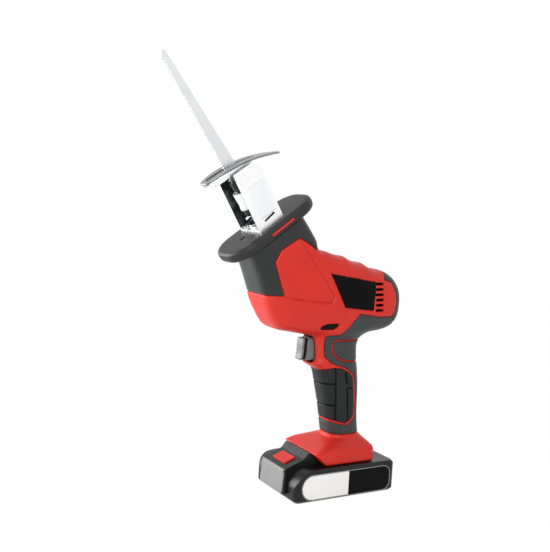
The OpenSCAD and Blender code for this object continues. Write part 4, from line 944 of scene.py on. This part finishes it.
def bead_path():
    """Points round the label's outline, each with the way out from it."""
    nose_r = (LABEL_Z1 - LABEL_Z0) / 2
    arcs = [
        (LABEL_X1 - nose_r, LABEL_Z0 + nose_r, nose_r, -90, 90),
        (LABEL_X0 + LABEL_R, LABEL_Z1 - LABEL_R, LABEL_R, 90, 180),
        (LABEL_X0 + LABEL_R, LABEL_Z0 + LABEL_R, LABEL_R, 180, 270),
    ]
    points = []
    for x, z, r, start, end in arcs:
        for a in np.radians(np.linspace(start, end, ARC_POINTS)):
            out, up = math.cos(a), math.sin(a)
            points.append((x + (r + BEAD_OFF) * out, z + (r + BEAD_OFF) * up, out, up))
    return points


def make_label_beads():
    """A bead swept round the label on each side."""
    half = [(BEAD_W / 4, BEAD_RISE), (BEAD_W / 2, BEAD_SHOULDER), (BEAD_W / 2, -BEAD_SINK)]
    section = [(-out, up) for out, up in half[::-1]] + half
    path = bead_path()
    n, count = len(section), len(path)
    faces = np.array([(k * n + i, k * n + (i + 1) % n,
                       (k + 1) % count * n + (i + 1) % n, (k + 1) % count * n + i)
                      for k in range(count) for i in range(n)])
    for side, name in ((1, "left_label_bead"), (-1, "right_label_bead")):
        points = [(x + nx * out, side * (PACK_W / 2 + up), z + nz * out)
                  for x, z, nx, nz in path for out, up in section]
        piece = new_mesh(name, np.array(points) * MM, faces[:, ::side])
        place(piece, BEAD_HIGHLIGHT_GREY, "battery", "grey_plastic")


# A bumper plate on the front of the pack, painted pale grey as painted light on the pack's lit
# front face
PLATE_FOOT, PLATE_TOP, PLATE_HALF, PLATE_R = (64.6, 5.6), (62.75, 28.9), 21.8, 3.2
PLATE_T, PLATE_RISE, PLATE_EDGE = 1.2, 0.35, 0.9
# Room in its block: behind, ahead, beside, at the ends
PLATE_ROOM = 0.8, 1, 1, 1.2


def make_front_plate():
    """A rounded plate that leans with the pack's front."""
    (x0, z0), (x1, z1) = PLATE_FOOT, PLATE_TOP
    length = math.hypot(x1 - x0, z1 - z0)
    along = ((x1 - x0) / length, (z1 - z0) / length)
    behind, ahead, beside, ends = PLATE_ROOM
    grid = Grid((-PLATE_T - behind, -PLATE_HALF - beside, -ends),
                (PLATE_RISE + ahead, PLATE_HALF + beside, length + ends), STEP / 2)
    plan = round_box(grid.y, grid.z - length / 2, PLATE_HALF, length / 2, PLATE_R)
    solid = round_max(plan, slab(grid.x, -PLATE_T, PLATE_RISE), PLATE_EDGE)

    def stand(points):
        out, y, up = points.T
        return np.stack((x0 + up * along[0] + out * along[1], y,
                         z0 + up * along[1] - out * along[0]), 1)

    piece = field_piece("pack_front_plate", solid, grid, stand)
    place(piece, FRONT_LIGHT_GREY, "battery", "grey_plastic")


# The studio, in metres and watts
CAMERA_AT = Vector((0.4617, 0.6800, 0.2877))
CAMERA_RIGHT = Vector((-0.8687, 0.4926, 0.0527))
CAMERA_UP = Vector((0.0005, -0.1055, 0.9944))
CAMERA_BACK = Vector((0.4954, 0.8638, 0.0914))
LENS, SENSOR = 53.33, 36.0
# Name, place, aim, width, power
LAMPS = [
    ("key", (0.9, 1.3, 0.9), (0.03, 0, 0.2), 0.9, 14.5),
    ("side", (0.9, -0.9, 0.25), (0.05, 0, 0.15), 1.0, 22),
]
PLAIN_WHITE = (1, 1, 1, 1)
WORLD_LIGHT = 0.48
FLOOR_TONE, FLOOR_ROUGH, FLOOR_GLOW = 0.9, 0.9, 0.985
FLOOR_SIZE, FLOOR_Z = 12, -0.0005


def make_camera():
    """The camera fitted to the photograph."""
    data = bpy.data.cameras.new("camera")
    data.lens = LENS
    data.sensor_width = SENSOR
    camera = bpy.data.objects.new("camera", data)
    turn = Matrix((CAMERA_RIGHT, CAMERA_UP, CAMERA_BACK)).transposed()
    camera.matrix_world = Matrix.Translation(CAMERA_AT) @ turn.to_4x4()
    bpy.context.scene.collection.objects.link(camera)
    bpy.context.scene.camera = camera


def area_light(name, place_at, target, size, power):
    """A soft round lamp that the camera doesn't see."""
    data = bpy.data.lights.new(name, "AREA")
    data.shape = "DISK"
    data.size = size
    data.energy = power
    lamp = bpy.data.objects.new(name, data)
    lamp.location = place_at
    lamp.visible_camera = False
    aim = Vector(target) - Vector(place_at)
    lamp.rotation_euler = aim.to_track_quat("-Z", "Y").to_euler()
    bpy.context.scene.collection.objects.link(lamp)


def seen_ray(tree):
    """One where a ray comes from the camera, a gloss or a clear surface."""
    path = tree.nodes.new("ShaderNodeLightPath").outputs
    first = math_node(tree, "MAXIMUM", path["Is Camera Ray"], path["Is Glossy Ray"])
    return math_node(tree, "MAXIMUM", first, path["Is Transmission Ray"])


def blend(tree, share, a, b, output):
    """The output takes shader a, and b by its share."""
    mix = tree.nodes.new("ShaderNodeMixShader")
    for socket, value in zip(mix.inputs, (share, a, b)):
        tree.links.new(value, socket)
    tree.links.new(mix.outputs[0], tree.nodes[output].inputs["Surface"])


def make_world():
    """Soft even light, seen as white."""
    world = bpy.data.worlds.new("studio")
    world.use_nodes = True
    bpy.context.scene.world = world
    tree = world.node_tree
    soft, white = tree.nodes["Background"], tree.nodes.new("ShaderNodeBackground")
    for node, strength in ((soft, WORLD_LIGHT), (white, 1.0)):
        node.inputs["Color"].default_value = PLAIN_WHITE
        node.inputs["Strength"].default_value = strength
    blend(tree, seen_ray(tree), soft.outputs[0], white.outputs[0], "World Output")


def make_floor():
    """A pale floor that reads white to the camera and keeps a soft shadow."""
    material = bpy.data.materials.new("floor")
    material.use_nodes = True
    tree = material.node_tree
    shader = tree.nodes["Principled BSDF"]
    shader.inputs["Base Color"].default_value = (FLOOR_TONE, FLOOR_TONE, FLOOR_TONE, 1)
    shader.inputs["Roughness"].default_value = FLOOR_ROUGH
    glow = tree.nodes.new("ShaderNodeEmission")
    glow.inputs["Strength"].default_value = 1.0
    share = math_node(tree, "MULTIPLY", seen_ray(tree), FLOOR_GLOW)
    blend(tree, share, shader.outputs[0], glow.outputs[0], "Material Output")
    bpy.ops.mesh.primitive_plane_add(size=FLOOR_SIZE, location=(0, 0, FLOOR_Z))
    floor = bpy.context.object
    floor.name = "floor"
    floor.data.materials.append(material)


def main():
    dress_nodes()
    paint_bracket_shade()
    make_shells()
    make_grips()
    make_boot()
    make_cap()
    make_name_panels()
    make_guard()
    make_trigger()
    make_trigger_lip()
    make_lock()
    make_shoe()
    make_bracket_presses()
    make_label_beads()
    make_front_plate()
    make_camera()
    make_world()
    make_floor()
    for lamp in LAMPS:
        area_light(*lamp)
    bpy.context.scene.view_settings.view_transform = "Standard"


main()
